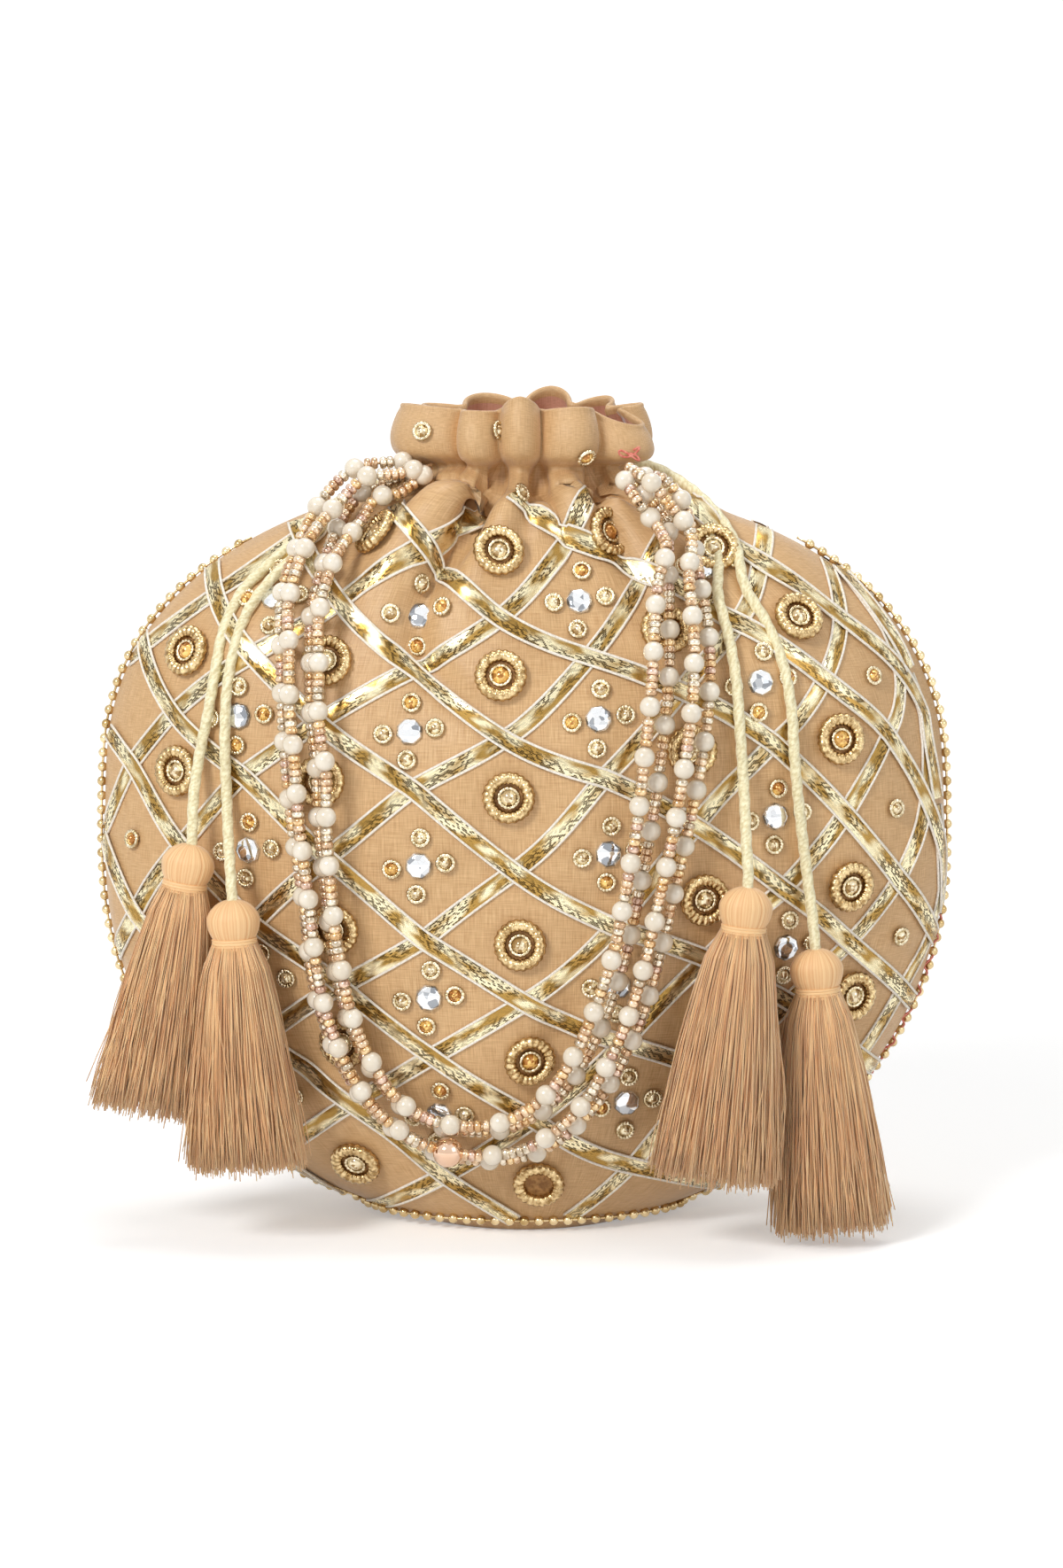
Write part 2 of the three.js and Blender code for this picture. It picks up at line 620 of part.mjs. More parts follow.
addMesh(handleBall(), gilt, 'handle_ball');
const cords = [
  ['left_outer', LEFT_OUTER_CORD, [-110, 38], 30],
  ['left_front', LEFT_FRONT_CORD, [-80, 23], 34],
  ['right_inner', RIGHT_INNER_CORD, [55.5, 21], 36],
  ['right_front', RIGHT_FRONT_CORD, [90, 4], 34],
];
for (const [name, points, foot, skirtWidth] of cords) {
  addMesh(tube(cordRoute(points), CORD_DIAMETER, CORD_STEPS), satin, `drawcord_${name}`);
  addTassel(`tassel_${name}`, points, foot, skirtWidth);
}

export default bag;
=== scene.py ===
# %% [markdown]
# A potli is a round drawstring pouch carried to weddings. This lesson dresses its plain solids in Blender: satin
# tissue cloth, gilt ribbons and cast medallions, cut mirrors, strings of pearls, cords and thread tassels.

import math

import bmesh
import bpy
import numpy as np
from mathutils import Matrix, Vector


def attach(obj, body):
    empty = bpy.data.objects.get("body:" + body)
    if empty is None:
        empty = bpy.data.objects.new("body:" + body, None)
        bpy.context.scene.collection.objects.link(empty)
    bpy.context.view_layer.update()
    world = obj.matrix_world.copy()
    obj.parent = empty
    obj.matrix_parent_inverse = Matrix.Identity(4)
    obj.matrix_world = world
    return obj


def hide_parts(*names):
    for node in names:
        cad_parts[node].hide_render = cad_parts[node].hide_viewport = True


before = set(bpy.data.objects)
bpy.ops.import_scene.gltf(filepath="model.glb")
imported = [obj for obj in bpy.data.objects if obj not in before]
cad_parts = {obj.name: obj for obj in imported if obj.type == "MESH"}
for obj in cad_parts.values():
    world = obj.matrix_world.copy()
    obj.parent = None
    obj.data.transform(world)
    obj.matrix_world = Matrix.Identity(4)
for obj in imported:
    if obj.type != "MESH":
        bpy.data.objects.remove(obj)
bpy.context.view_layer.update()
scene = bpy.context.scene

# %% [markdown]
# The photograph was taken with a long lens from a little above the bag. A long lens is a narrow angle,
# so the camera stands well back. Its sensor width is measured along the long side of an upright picture.

# %% The camera
MM = 0.001
PHOTO_HEIGHT = 1770
FOCAL_PIXELS = 5710
CAMERA_DISTANCE = 1.5
CAMERA_ELEVATION = math.radians(8)
AIM = Vector((0.0021, 0, 0.1285))

lens = bpy.data.cameras.new("camera")
lens.sensor_width = 36
lens.lens = lens.sensor_width * FOCAL_PIXELS / PHOTO_HEIGHT
camera = bpy.data.objects.new("camera", lens)
back_off = Vector((0, -math.cos(CAMERA_ELEVATION), math.sin(CAMERA_ELEVATION)))
camera.location = AIM + CAMERA_DISTANCE * back_off
camera.rotation_euler = (-back_off).to_track_quat("-Z", "Y").to_euler()
scene.collection.objects.link(camera)
scene.camera = camera
print("lens", round(lens.lens, 1), "mm")

# %% [markdown]
# Most pieces lie on the cloth, so the cloth comes first as a formula. Its outline is one rounded curve under the
# widest height and another over it, and a tube for the neck is blended in by a cubic mean. Each level is a lens.
# Lengths are in millimetres here and become metres when a mesh is made.

# %% The smooth cloth
BODY_WIDTH = 249
BODY_DEPTH = 104
WIDEST_HEIGHT = 110
SHOULDER_HEIGHT = 213
FULL_SHOULDER = 217.5
BASE_CUT_FRONT = 4
BASE_CUT_SIDE = 16
NECK_HEIGHT = 222
NECK_WIDTH = 64
NECK_DEPTH = 36
RUFFLE_HEIGHT = 19
RUFFLE_FLARE = 5
RIM_HEIGHT = NECK_HEIGHT + RUFFLE_HEIGHT
NECK_FADE = 40
LENS_POWER = 1.24


def smoothstep(value):
    """3t^2 - 2t^3, where t is the value held between 0 and 1."""
    t = np.clip(value, 0, 1)
    return t * t * (3 - 2 * t)


def half_sizes(z, shoulder=FULL_SHOULDER):
    """Half width and half depth of the bag at heights z: powers of the height's share, and a flared neck."""
    below = np.clip(WIDEST_HEIGHT - z, 0, None)
    above = np.clip(z - WIDEST_HEIGHT, 0, None) / (shoulder - WIDEST_HEIGHT)
    wide = np.where(z < WIDEST_HEIGHT, (below / (WIDEST_HEIGHT + BASE_CUT_FRONT)) ** 2.2, above**3)
    width = BODY_WIDTH / 2 * np.sqrt(np.clip(1 - wide, 0, None))
    low = np.sqrt(np.clip(1 - (below / (WIDEST_HEIGHT + BASE_CUT_SIDE)) ** 2.6, 0, None))
    high = np.clip(1 - above**2.4, 0, None) ** 0.6
    depth = BODY_DEPTH / 2 * np.where(z < WIDEST_HEIGHT, low, high)
    flare = RUFFLE_FLARE * (np.clip(z - NECK_HEIGHT, 0, None) / RUFFLE_HEIGHT) ** 1.5
    fade = smoothstep((z - WIDEST_HEIGHT) / NECK_FADE)
    neck_width = (NECK_WIDTH / 2 + flare) * fade
    neck_depth = (NECK_DEPTH / 2 + flare) * fade
    return np.cbrt(width**3 + neck_width**3), np.cbrt(depth**3 + neck_depth**3)


def smooth_cloth(angle, z, shoulder=FULL_SHOULDER):
    """Cloth without gathers: x = width cos(angle), y = -depth |sin(angle)|^power with its sign; the lens power is 1 at
    the neck."""
    angle, z = np.broadcast_arrays(np.asarray(angle, float), np.asarray(z, float))
    width, depth = half_sizes(z, shoulder)
    power = LENS_POWER - (LENS_POWER - 1) * smoothstep((z - SHOULDER_HEIGHT + 33) / 35)
    bulge = np.abs(np.sin(angle)) ** power * np.sign(np.sin(angle))
    return np.stack([width * np.cos(angle), -depth * bulge, z], axis=-1)


def unit(vectors):
    """Each vector divided by its length."""
    return vectors / np.clip(np.linalg.norm(vectors, axis=-1, keepdims=True), 1e-9, None)


def outward(surface, angle, z):
    """Surface normal: the step up crossed with the step round."""
    across = surface(angle + 0.02, z) - surface(angle - 0.02, z)
    upwards = surface(angle, z + 0.5) - surface(angle, z - 0.5)
    return unit(np.cross(upwards, across))


# %% [markdown]
# The drawcord pulls the neck into gathers. The solids have even ones: a cosine round the neck, full at the neck,
# opening over the cord as the ruffle and fading into the body below it.

# %% Gathers
GATHERS = 10
GATHER_DEPTH = 3.2
GATHER_LENGTH = 45
GATHER_TURN = 1.6 * math.pi
GATHER_OPENING = 0.4


def drawn_in(z):
    """How far the cord gathers the cloth at a height, from 0 on the body to 1 at the neck."""
    return smoothstep((z - NECK_HEIGHT + GATHER_LENGTH) / GATHER_LENGTH)


def solid_cloth(angle, z):
    """Smooth cloth with the plain shoulder of the solids."""
    return smooth_cloth(angle, z, SHOULDER_HEIGHT)


def gathered_cloth(angle, z):
    """The solids' cloth moved along its normal by depth x fade x cos(10 angle - turn)."""
    opened = 1 + GATHER_OPENING * np.clip(z - NECK_HEIGHT, 0, None) / RUFFLE_HEIGHT
    move = GATHER_DEPTH * drawn_in(z) * opened * np.cos(GATHERS * angle - GATHER_TURN)
    return solid_cloth(angle, z) + outward(solid_cloth, angle, z) * np.asarray(move)[..., None]


# %% [markdown]
# Those even gathers carry the strings and cords. The cloth that shows has pleats of uneven width, each an arch between
# two grooves. The cord pinches it, the ruffle swells over the pinch, and its rim rises and dips from pleat to pleat.

# %% Uneven pleats
GROOVES = np.array([-2.75, -2.2, -1.6, -1.1, -0.6, -0.08, 0.86, 1.42, 1.79, 2.2])
RIM_RISE = np.array([-1.5, 1.0, 3.0, 0.5, -1.0, -6.5, -0.5, 2.6, -1.5, -0.5])
RIM_DIP = 5.5
PLEAT_DEPTH = 6.8
PINCH_HEIGHT = NECK_HEIGHT + 1.5
PINCH_DEPTH = 3.4
PINCH_REACH = 2.8
RUFFLE_SWELL = 4.2
RUFFLE_CLOSING = 3.5
BULGE = 4.4
BULGE_HEIGHT = 211.5
FINE_FOLDS = 44
FINE_DEPTH = 0.45


def bell(value, width, power=2):
    """exp(-|value / width|^power)."""
    return np.exp(-(np.abs(value / width) ** power))


def pleat(angle):
    """Arch sin(pi share)^0.6 between two grooves, and the number of the pleat."""
    edges = np.append(GROOVES, GROOVES[0] + 2 * math.pi)
    turn = (angle - edges[0]) % (2 * math.pi) + edges[0]
    index = np.clip(np.searchsorted(edges, turn, side="right") - 1, 0, len(GROOVES) - 1)
    share = (turn - edges[index]) / (edges[index + 1] - edges[index])
    return np.sin(math.pi * np.clip(share, 0, 1)) ** 0.6, index


def pleated_cloth(angle, z):
    """Smooth cloth moved along its normal by pleats, pinch and swells, and its rim up by the rise of each pleat."""
    arch, index = pleat(angle)
    t = np.clip((z - PINCH_HEIGHT) / (RIM_HEIGHT - PINCH_HEIGHT), 0, 1)
    smooth = smooth_cloth(angle, z)
    pinch = -PINCH_DEPTH * bell(z - PINCH_HEIGHT, PINCH_REACH)
    swell = RUFFLE_SWELL * np.sin(math.pi * t) ** 0.8 - RUFFLE_CLOSING * t**2
    bulge = BULGE * bell(smooth[..., 0], 33, 4) * bell(z - BULGE_HEIGHT, 6.5)
    fine = FINE_DEPTH * np.cos(FINE_FOLDS * angle + 2.5 * np.sin(3 * angle)) * bell(z - NECK_HEIGHT + 3, 7)
    move = PLEAT_DEPTH * drawn_in(z) ** 1.3 * (1 + 0.5 * t) * (arch - 0.66) + pinch + swell + bulge + fine
    point = smooth + outward(smooth_cloth, angle, z) * np.asarray(move)[..., None]
    rise = t * (arch * RIM_RISE[index] - RIM_DIP * (1 - arch))
    return point + np.stack([0 * rise, 0 * rise, rise], axis=-1)


# %% [markdown]
# Creases run down from the neck where the cloth is pulled in. Each is a drawn line seen from the front, and the
# cloth sinks beside it as a bell curve, or stands up where the depth is negative. A few slow waves keep the rest of
# the cloth from looking inflated.

# %% Creased cloth
CREASES = [
    # points (x, z), depth at its start, half width at its start and at its end
    ([(-8, 224), (-12, 214), (-18, 204), (-26, 194), (-31, 184), (-31, 173), (-26, 161)], 8.5, 2.8, 4.6),
    ([(-20, 222), (-27, 211), (-38, 202), (-44, 190), (-45, 176)], -3.6, 5.0, 8.0),
    ([(-6, 206), (-12, 196), (-17, 186), (-19, 172)], -2.6, 5.0, 7.0),
    ([(4, 224), (3, 215), (0, 206), (-2, 196)], 4.6, 2.4, 3.6),
    ([(12, 222), (15, 210), (20, 198)], -2.2, 3.6, 6.0),
    ([(21, 224), (22, 213), (27, 202), (34, 191), (38, 180)], 5.6, 2.6, 5.0),
    ([(-26, 224), (-33, 215), (-43, 208), (-54, 201)], 3.4, 2.6, 5.0),
    ([(-33, 176), (-20, 160), (-3, 149), (14, 144)], 2.6, 3.4, 8.0),
    ([(60, 206), (68, 196), (80, 180)], 2.2, 4.0, 7.0),
    ([(52, 196), (56, 178), (54, 160)], 1.8, 4.0, 7.0),
    ([(-60, 205), (-72, 192), (-86, 176)], 2.0, 4.0, 7.0),
    ([(62, 62), (80, 78), (100, 88)], 1.6, 6.0, 9.0),
    ([(-70, 46), (-52, 60), (-30, 66)], 1.6, 6.0, 9.0),
    ([(8, 60), (20, 84), (24, 112)], 1.4, 5.0, 9.0),
]


def crease_depth(x, z):
    """Sum over the lines of depth x exp(-(distance / half width)^2), fading out along each line."""
    total = np.zeros(np.broadcast(x, z).shape)
    for points, depth, start_width, end_width in CREASES:
        points = np.asarray(points, float)
        pieces = len(points) - 1
        deepest = np.zeros_like(total)
        for i in range(pieces):
            along = points[i + 1] - points[i]
            share = ((x - points[i][0]) * along[0] + (z - points[i][1]) * along[1]) / (along @ along)
            share = np.clip(share, 0, 1)
            away = np.hypot(x - points[i][0] - share * along[0], z - points[i][1] - share * along[1])
            run = (i + share) / pieces
            width = start_width + (end_width - start_width) * run
            deepest = np.maximum(deepest, bell(away, width) * (1 - run**2))
        total += depth * deepest
    return total


WAVES = [
    # height, length along x, length along z, start
    (0.9, 13, 21, 0),
    (0.7, -29, 11, 1.3),
    (0.4, 6.1, -17, 0),
]


def cloth(angle, z, lift=0.0):
    """Pleated cloth with creases and slow waves in the front and mirrored ones behind, raised by lift."""
    angle, z = np.broadcast_arrays(np.asarray(angle, float), np.asarray(z, float))
    point = pleated_cloth(angle, z)
    side = np.sign(np.sin(angle) + 1e-9)
    x = point[..., 0] * side
    edge = smoothstep(np.abs(np.sin(angle)) * 4)
    calm = smoothstep(z / 30) * edge
    waves = sum(height * np.sin(x / wide + z / high + start) for height, wide, high, start in WAVES)
    drop = crease_depth(x, z) * edge * smoothstep((NECK_HEIGHT + 3 - z) / 6)
    drop -= waves * calm * smoothstep((NECK_HEIGHT - z) / 20)
    return point + outward(pleated_cloth, angle, z) * (lift - drop)[..., None]


def over_cloth(x, z, side, lift):
    """Points over the cloth at x and z on one side, 1 for the front, and the cloth's normals there."""
    x, z = np.broadcast_arrays(np.asarray(x, float), np.asarray(z, float))
    angle = side * np.arccos(np.clip(x / half_sizes(z)[0], -0.999, 0.999))
    normal = outward(cloth, angle, z)
    lift = np.broadcast_to(np.asarray(lift, float), x.shape)
    return cloth(angle, z) + normal * lift[..., None], normal


# %% [markdown]
# Every surface is a grid of points: rows one way, columns the other. The helper below writes such grids into one mesh,
# with a UV map in millimetres for weaves, and welds the seam and the poles so that the surface is closed.

# %% Grids and pieces


def grid_faces(rows, columns):
    """Corner numbers of the (rows - 1) x (columns - 1) cells of a grid, counted row by row."""
    corner = np.arange(rows * columns).reshape(rows, columns)
    cells = [corner[:-1, :-1], corner[:-1, 1:], corner[1:, 1:], corner[1:, :-1]]
    return np.stack([cell.ravel() for cell in cells], axis=1)


def copies(points, faces, origins, turns):
    """The template at each origin, its x, y and z axes along the columns of each turn."""
    placed = np.einsum("mij,nj->mni", turns, points) + origins[:, None, :]
    offsets = np.arange(len(origins))[:, None, None] * len(points)
    return placed.reshape(-1, 3), (faces[None] + offsets).reshape(-1, 4)


def merged(blocks):
    """Blocks that start with points and faces as one set of points and one of faces."""
    starts = np.cumsum([0] + [len(block[0]) for block in blocks])
    faces = [block[1] + start for block, start in zip(blocks, starts)]
    return np.concatenate([block[0] for block in blocks]), np.concatenate(faces)


def new_piece(name, points, faces, finishes, slot=None, uv=None, kinds=None, body="bag", replaces=()):
    """A welded mesh from points in millimetres and four-cornered faces, each face with the number of its finish."""
    points, faces = points.reshape(-1, 3), faces.reshape(-1, 4)
    mesh = bpy.data.meshes.new(name)
    mesh.vertices.add(len(points))
    mesh.vertices.foreach_set("co", (points * MM).ravel())
    mesh.loops.add(faces.size)
    mesh.loops.foreach_set("vertex_index", faces.ravel().astype(np.int32))
    mesh.polygons.add(len(faces))
    mesh.polygons.foreach_set("loop_start", np.arange(0, faces.size, 4, dtype=np.int32))
    mesh.update(calc_edges=True)
    if uv is not None:
        layer = mesh.uv_layers.new(name="UVMap")
        layer.data.foreach_set("uv", uv.reshape(-1, 2)[faces.ravel()].ravel())
    for finish in finishes:
        mesh.materials.append(finish)
    if kinds is not None:
        mesh.polygons.foreach_set("material_index", np.asarray(kinds, np.int32))
    shape = bmesh.new()
    shape.from_mesh(mesh)
    bmesh.ops.remove_doubles(shape, verts=shape.verts, dist=1e-6)
    shape.to_mesh(mesh)
    shape.free()
    mesh.polygons.foreach_set("use_smooth", np.full(len(mesh.polygons), True))
    mesh.update()
    piece = bpy.data.objects.new(name, mesh)
    scene.collection.objects.link(piece)
    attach(piece, body)
    if replaces:
        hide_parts(*replaces)
    print(name, len(mesh.polygons), "faces")
    return piece


def revolved(profile, sides):
    """A turned shape about +Z: (r cos a, r sin a, z) for each profile point (r, z) and angle a."""
    profile = np.asarray(profile, float)
    angle = np.linspace(0, 2 * math.pi, sides + 1)
    r, z = profile[:, :1], profile[:, 1:]
    points = np.stack([r * np.cos(angle), r * np.sin(angle), z + 0 * angle], axis=-1)
    return points.reshape(-1, 3), grid_faces(len(profile), sides + 1)


def ball(diameter, steps, sides):
    """A ball turned from a half circle."""
    latitude = np.linspace(0, math.pi, steps)
    return revolved(np.stack([np.sin(latitude), -np.cos(latitude)], axis=1) * diameter / 2, sides)


def smooth_path(points, spacing):
    """Evenly spaced points on Hermite curves through given ones, whose slopes join each point's neighbours."""
    points = np.asarray(points, float)
    steps = np.sqrt(np.linalg.norm(np.diff(points, axis=0), axis=1))
    knots = np.concatenate([[0], np.cumsum(steps)])
    slopes = np.gradient(points, knots, axis=0)
    t = np.linspace(0, knots[-1], 60 * len(points))
    i = np.clip(np.searchsorted(knots, t, side="right") - 1, 0, len(points) - 2)
    gap = (knots[i + 1] - knots[i])[:, None]
    s = (t - knots[i])[:, None] / gap
    start, end = points[i], points[i + 1]
    dense = (2 * s**3 - 3 * s**2 + 1) * start + (3 * s**2 - 2 * s**3) * end
    dense += gap * ((s**3 - 2 * s**2 + s) * slopes[i] + (s**3 - s**2) * slopes[i + 1])
    return even_path(dense, spacing)


def distances_along(points):
    """How far along its line each point lies."""
    return np.concatenate([[0], np.cumsum(np.linalg.norm(np.diff(points, axis=0), axis=1))])


def even_path(dense, spacing):
    """The same line with its points a fixed distance apart."""
    length = distances_along(dense)
    stations = np.linspace(0, length[-1], max(2, int(round(length[-1] / spacing)) + 1))
    return np.stack([np.interp(stations, length, dense[:, k]) for k in range(3)], axis=1)


def path_length(path):
    """Sum of the distances between neighbouring points."""
    return float(np.linalg.norm(np.diff(path, axis=0), axis=1).sum())


def path_frames(paths, reference):
    """Tangent t, normal n = the reference less its part along t, and t x n, for lines of points (..., k, 3)."""
    tangent = unit(np.gradient(paths, axis=-2))
    reference = np.asarray(reference, float)
    normal = unit(reference - (tangent @ reference)[..., None] * tangent)
    return tangent, normal, np.cross(tangent, normal)


def tubes(paths, radius, sides, reference):
    """Rings of points round lines (m, k, 3): p + r (n cos a + b sin a), closed to a point at both ends."""
    paths = np.concatenate([paths[:, :1], paths, paths[:, -1:]], axis=1)
    lines, count = paths.shape[:2]
    tangent, normal, side = path_frames(paths[:, 1:-1], reference)
    normal = np.concatenate([normal[:, :1], normal, normal[:, -1:]], axis=1)[:, :, None]
    side = np.concatenate([side[:, :1], side, side[:, -1:]], axis=1)[:, :, None]
    radius = np.array(np.broadcast_to(np.asarray(radius, float), (lines, count - 2)))
    radius = np.pad(radius, ((0, 0), (1, 1)))[:, :, None, None]
    angle = np.linspace(0, 2 * math.pi, sides + 1)[:, None]
    ring = paths[:, :, None] + radius * (normal * np.cos(angle) + side * np.sin(angle))
    faces = grid_faces(count, sides + 1)
    offsets = np.arange(lines)[:, None, None] * (count * (sides + 1))
    run = np.broadcast_to(np.arange(count)[:, None] / (count - 1), (count, sides + 1))
    turn = np.broadcast_to(np.arange(sides + 1) / sides, (count, sides + 1))
    uv = np.tile(np.stack([run, turn], axis=-1).reshape(-1, 2), (lines, 1))
    return ring.reshape(-1, 3), (faces[None] + offsets).reshape(-1, 4), uv


# %% [markdown]
# A finish is a Principled shader with a few nodes in front of it. Colours are written as a painter's 0 to 255 values
# and turned into linear light. Values that are the same all over a piece sit on the shader's own sockets.

# %% Finish helpers


def tone(red, green, blue):
    """A screen colour as linear light: ((c / 255 + 0.055) / 1.055)^2.4."""
    return tuple(((c / 255 + 0.055) / 1.055) ** 2.4 for c in (red, green, blue)) + (1.0,)


def put(tree, kind, inputs, **settings):
    """A node of one kind with its sockets set or linked."""
    node = tree.nodes.new("ShaderNode" + kind)
    for name, value in settings.items():
        setattr(node, name, value)
    for name, value in inputs.items():
        if isinstance(value, bpy.types.NodeSocket):
            tree.links.new(value, node.inputs[name])
        else:
            node.inputs[name].default_value = value
    return node


def finish(name, **sockets):
    """A new material, its node tree and its shader, with plain values on the shader's sockets."""
    material = bpy.data.materials.new(name)
    material.use_nodes = True
    tree = material.node_tree
    shader = next(node for node in tree.nodes if node.type == "BSDF_PRINCIPLED")
    for socket, value in sockets.items():
        shader.inputs[socket.replace("_", " ").title().replace("Ior", "IOR")].default_value = value
    return material, tree, shader


def two_tone(tree, factor, first, second, low, high):
    """The first colour where the factor is low and the second where it is high."""
    ramp = put(tree, "ValToRGB", {"Fac": factor})
    ramp.color_ramp.elements[0].position, ramp.color_ramp.elements[0].color = low, first
    ramp.color_ramp.elements[1].position, ramp.color_ramp.elements[1].color = high, second
    return ramp.outputs["Color"]


def bumped(tree, shader, height, distance):
    """Surface relief from a height value, its distance in millimetres."""
    relief = put(tree, "Bump", {"Height": height, "Distance": distance * MM, "Strength": 1})
    tree.links.new(relief.outputs[0], shader.inputs["Normal"])


def mixed(tree, factor, first, second):
    """Two colours put together by a factor."""
    node = put(tree, "Mix", {}, data_type="RGBA")
    for socket, value in ((node.inputs[0], factor), (node.inputs[6], first), (node.inputs[7], second)):
        if isinstance(value, bpy.types.NodeSocket):
            tree.links.new(value, socket)
        else:
            socket.default_value = value
    return node.outputs[2]


# %% [markdown]
# Metal, pearl, thread and cord all vary a little between a deep and a light tone. That effect is one node group, made
# once and placed in each material with its own values, and so is the weave of the two cloths.


# %% Shared groups of nodes
def empty_group(name, sockets, results):
    """A node group with named sockets: (name, kind, value) going in and (name, kind) coming out."""
    tree = bpy.data.node_groups.new(name, "ShaderNodeTree")
    for label, kind, value in sockets:
        socket = tree.interface.new_socket(label, in_out="INPUT", socket_type="NodeSocket" + kind)
        socket.default_value = value
    for label, kind in results:
        tree.interface.new_socket(label, in_out="OUTPUT", socket_type="NodeSocket" + kind)
    return tree, tree.nodes.new("NodeGroupInput").outputs, tree.nodes.new("NodeGroupOutput").inputs


def noise_on(tree, vector, stretch, scale, detail):
    """Noise value over a vector multiplied by a stretch."""
    place = put(tree, "VectorMath", {0: vector, 1: stretch}, operation="MULTIPLY")
    return put(tree, "TexNoise", {"Vector": place.outputs[0], "Scale": scale, "Detail": detail}).outputs["Fac"]


def uneven_tone_group():
    """Noise held between low and high as a colour between deep and light, and the noise itself as a height."""
    sockets = [("Vector", "Vector", (0, 0, 0)), ("Stretch", "Vector", (1, 1, 1)), ("Scale", "Float", 1.0)]
    sockets += [("Detail", "Float", 2.0), ("Low", "Float", 0.35), ("High", "Float", 0.65)]
    sockets += [("Deep", "Color", (0, 0, 0, 1)), ("Light", "Color", (1, 1, 1, 1))]
    tree, given, result = empty_group("uneven_tone", sockets, [("Color", "Color"), ("Height", "Float")])
    noise = noise_on(tree, given["Vector"], given["Stretch"], given["Scale"], given["Detail"])
    share = put(tree, "MapRange", {"Value": noise, "From Min": given["Low"], "From Max": given["High"]}).outputs[0]
    tree.links.new(mixed(tree, share, given["Deep"], given["Light"]), result["Color"])
    tree.links.new(noise, result["Height"])
    return tree


def weave_group():
    """Mean of weft noise stretched 20 to 1 and warp noise stretched 1 to 24, as a colour and a height."""
    sockets = [("Vector", "Vector", (0, 0, 0)), ("Deep", "Color", (0, 0, 0, 1)), ("Light", "Color", (1, 1, 1, 1))]
    tree, given, result = empty_group("weave", sockets, [("Color", "Color"), ("Height", "Float")])
    weft = noise_on(tree, given["Vector"], (0.17, 3.4, 1), 1.0, 2)
    warp = noise_on(tree, given["Vector"], (3.6, 0.15, 1), 1.0, 1)
    thread = put(tree, "Math", {0: weft, 1: warp}, operation="ADD").outputs[0]
    half = put(tree, "Math", {0: thread, 1: 0.5}, operation="MULTIPLY").outputs[0]
    share = put(tree, "MapRange", {"Value": half, "From Min": 0.3, "From Max": 0.66}).outputs[0]
    tree.links.new(mixed(tree, share, given["Deep"], given["Light"]), result["Color"])
    tree.links.new(half, result["Height"])
    return tree


UNEVEN_TONE, WEAVE = uneven_tone_group(), weave_group()


def placed_group(tree, group, **values):
    """A group placed in a material with its own values."""
    return put(tree, "Group", {name.title(): value for name, value in values.items()}, node_tree=group).outputs


def uneven(tree, vector, deep, light, **values):
    """The uneven tone between a deep and a light colour."""
    return placed_group(tree, UNEVEN_TONE, vector=vector, deep=deep, light=light, **values)


def uneven_finish(name, over, deep, light, spread, relief=0.0, **sockets):
    """A finish in the uneven tone over the UV map or over Object coordinates, with its height as relief if asked."""
    material, tree, shader = finish(name, **sockets)
    place = put(tree, "UVMap", {}).outputs[0] if over == "UV" else put(tree, "TexCoord", {}).outputs[over]
    spots = uneven(tree, place, tone(*deep), tone(*light), **spread)
    tree.links.new(spots["Color"], shader.inputs["Base Color"])
    if relief:
        bumped(tree, shader, spots["Height"], relief)
    return material


print("groups", UNEVEN_TONE.name, WEAVE.name)

# %% [markdown]
# The tissue is a satin with uneven weft threads, seen as fine level dashes, crossed by thinner upright ones.
# Both are noise stretched along a thread. They read the UV map, so that the weave follows the cloth.

# %% Cloth finishes


def tissue_finish(name, deep, light, relief=0.16):
    """Satin: colour and relief from the weave."""
    material, tree, shader = finish(name, Roughness=0.42, Sheen_Weight=0.3, Sheen_Roughness=0.35)
    weave = placed_group(tree, WEAVE, vector=put(tree, "UVMap", {}).outputs[0], deep=deep, light=light)
    tree.links.new(weave["Color"], shader.inputs["Base Color"])
    bumped(tree, shader, weave["Height"], relief)
    return material


tissue = tissue_finish("tissue", tone(189, 144, 94), tone(226, 188, 138))
lining_cloth = tissue_finish("lining_cloth", tone(196, 140, 116), tone(226, 176, 150), 0.05)
print("finishes", tissue.name, lining_cloth.name)

# %% [markdown]
# The outer bag is one grid: over the base, up the side, round the rim and a little way down inside. Rows are closer
# at the ruffle. The UV map measures round the bag at its widest and up its height.

# %% The bag's cloth
COLUMNS = 420
BASE_ROWS = 6
HEM_DEPTH = 22
RIM_ROUND = 0.8
CLOTH_RADIUS = 105

angle = np.linspace(0, 2 * math.pi, COLUMNS + 1)[None]
side_levels = np.concatenate([np.linspace(0, 10, 16), np.linspace(11.2, 196, 132), np.linspace(197.2, RIM_HEIGHT, 40)])
side_rows = cloth(angle, side_levels[:, None])
base_rows = side_rows[:1] * np.linspace(0, 1, BASE_ROWS + 1)[:-1, None, None]
rim_turn = np.linspace(0, math.pi, 7)[1:, None]
rim_rows = cloth(angle, RIM_HEIGHT + RIM_ROUND * np.sin(rim_turn), -RIM_ROUND * (1 - np.cos(rim_turn)))
inside_rows = cloth(angle, RIM_HEIGHT - np.linspace(RIM_ROUND, HEM_DEPTH, 14)[:, None], -2 * RIM_ROUND)
bag_rows = np.concatenate([base_rows, side_rows, rim_rows, inside_rows])
bag_rows[: BASE_ROWS + 1, :, 2] = 0
rise = distances_along(bag_rows[:, COLUMNS // 4])
panel_width = path_length(bag_rows[np.argmax(bag_rows[:, 0, 0])][: COLUMNS // 2 + 1])
panel_height = rise[BASE_ROWS + len(side_rows)] - rise[BASE_ROWS]
print("a panel lies flat at", round(panel_width), "x", round(panel_height), "mm")
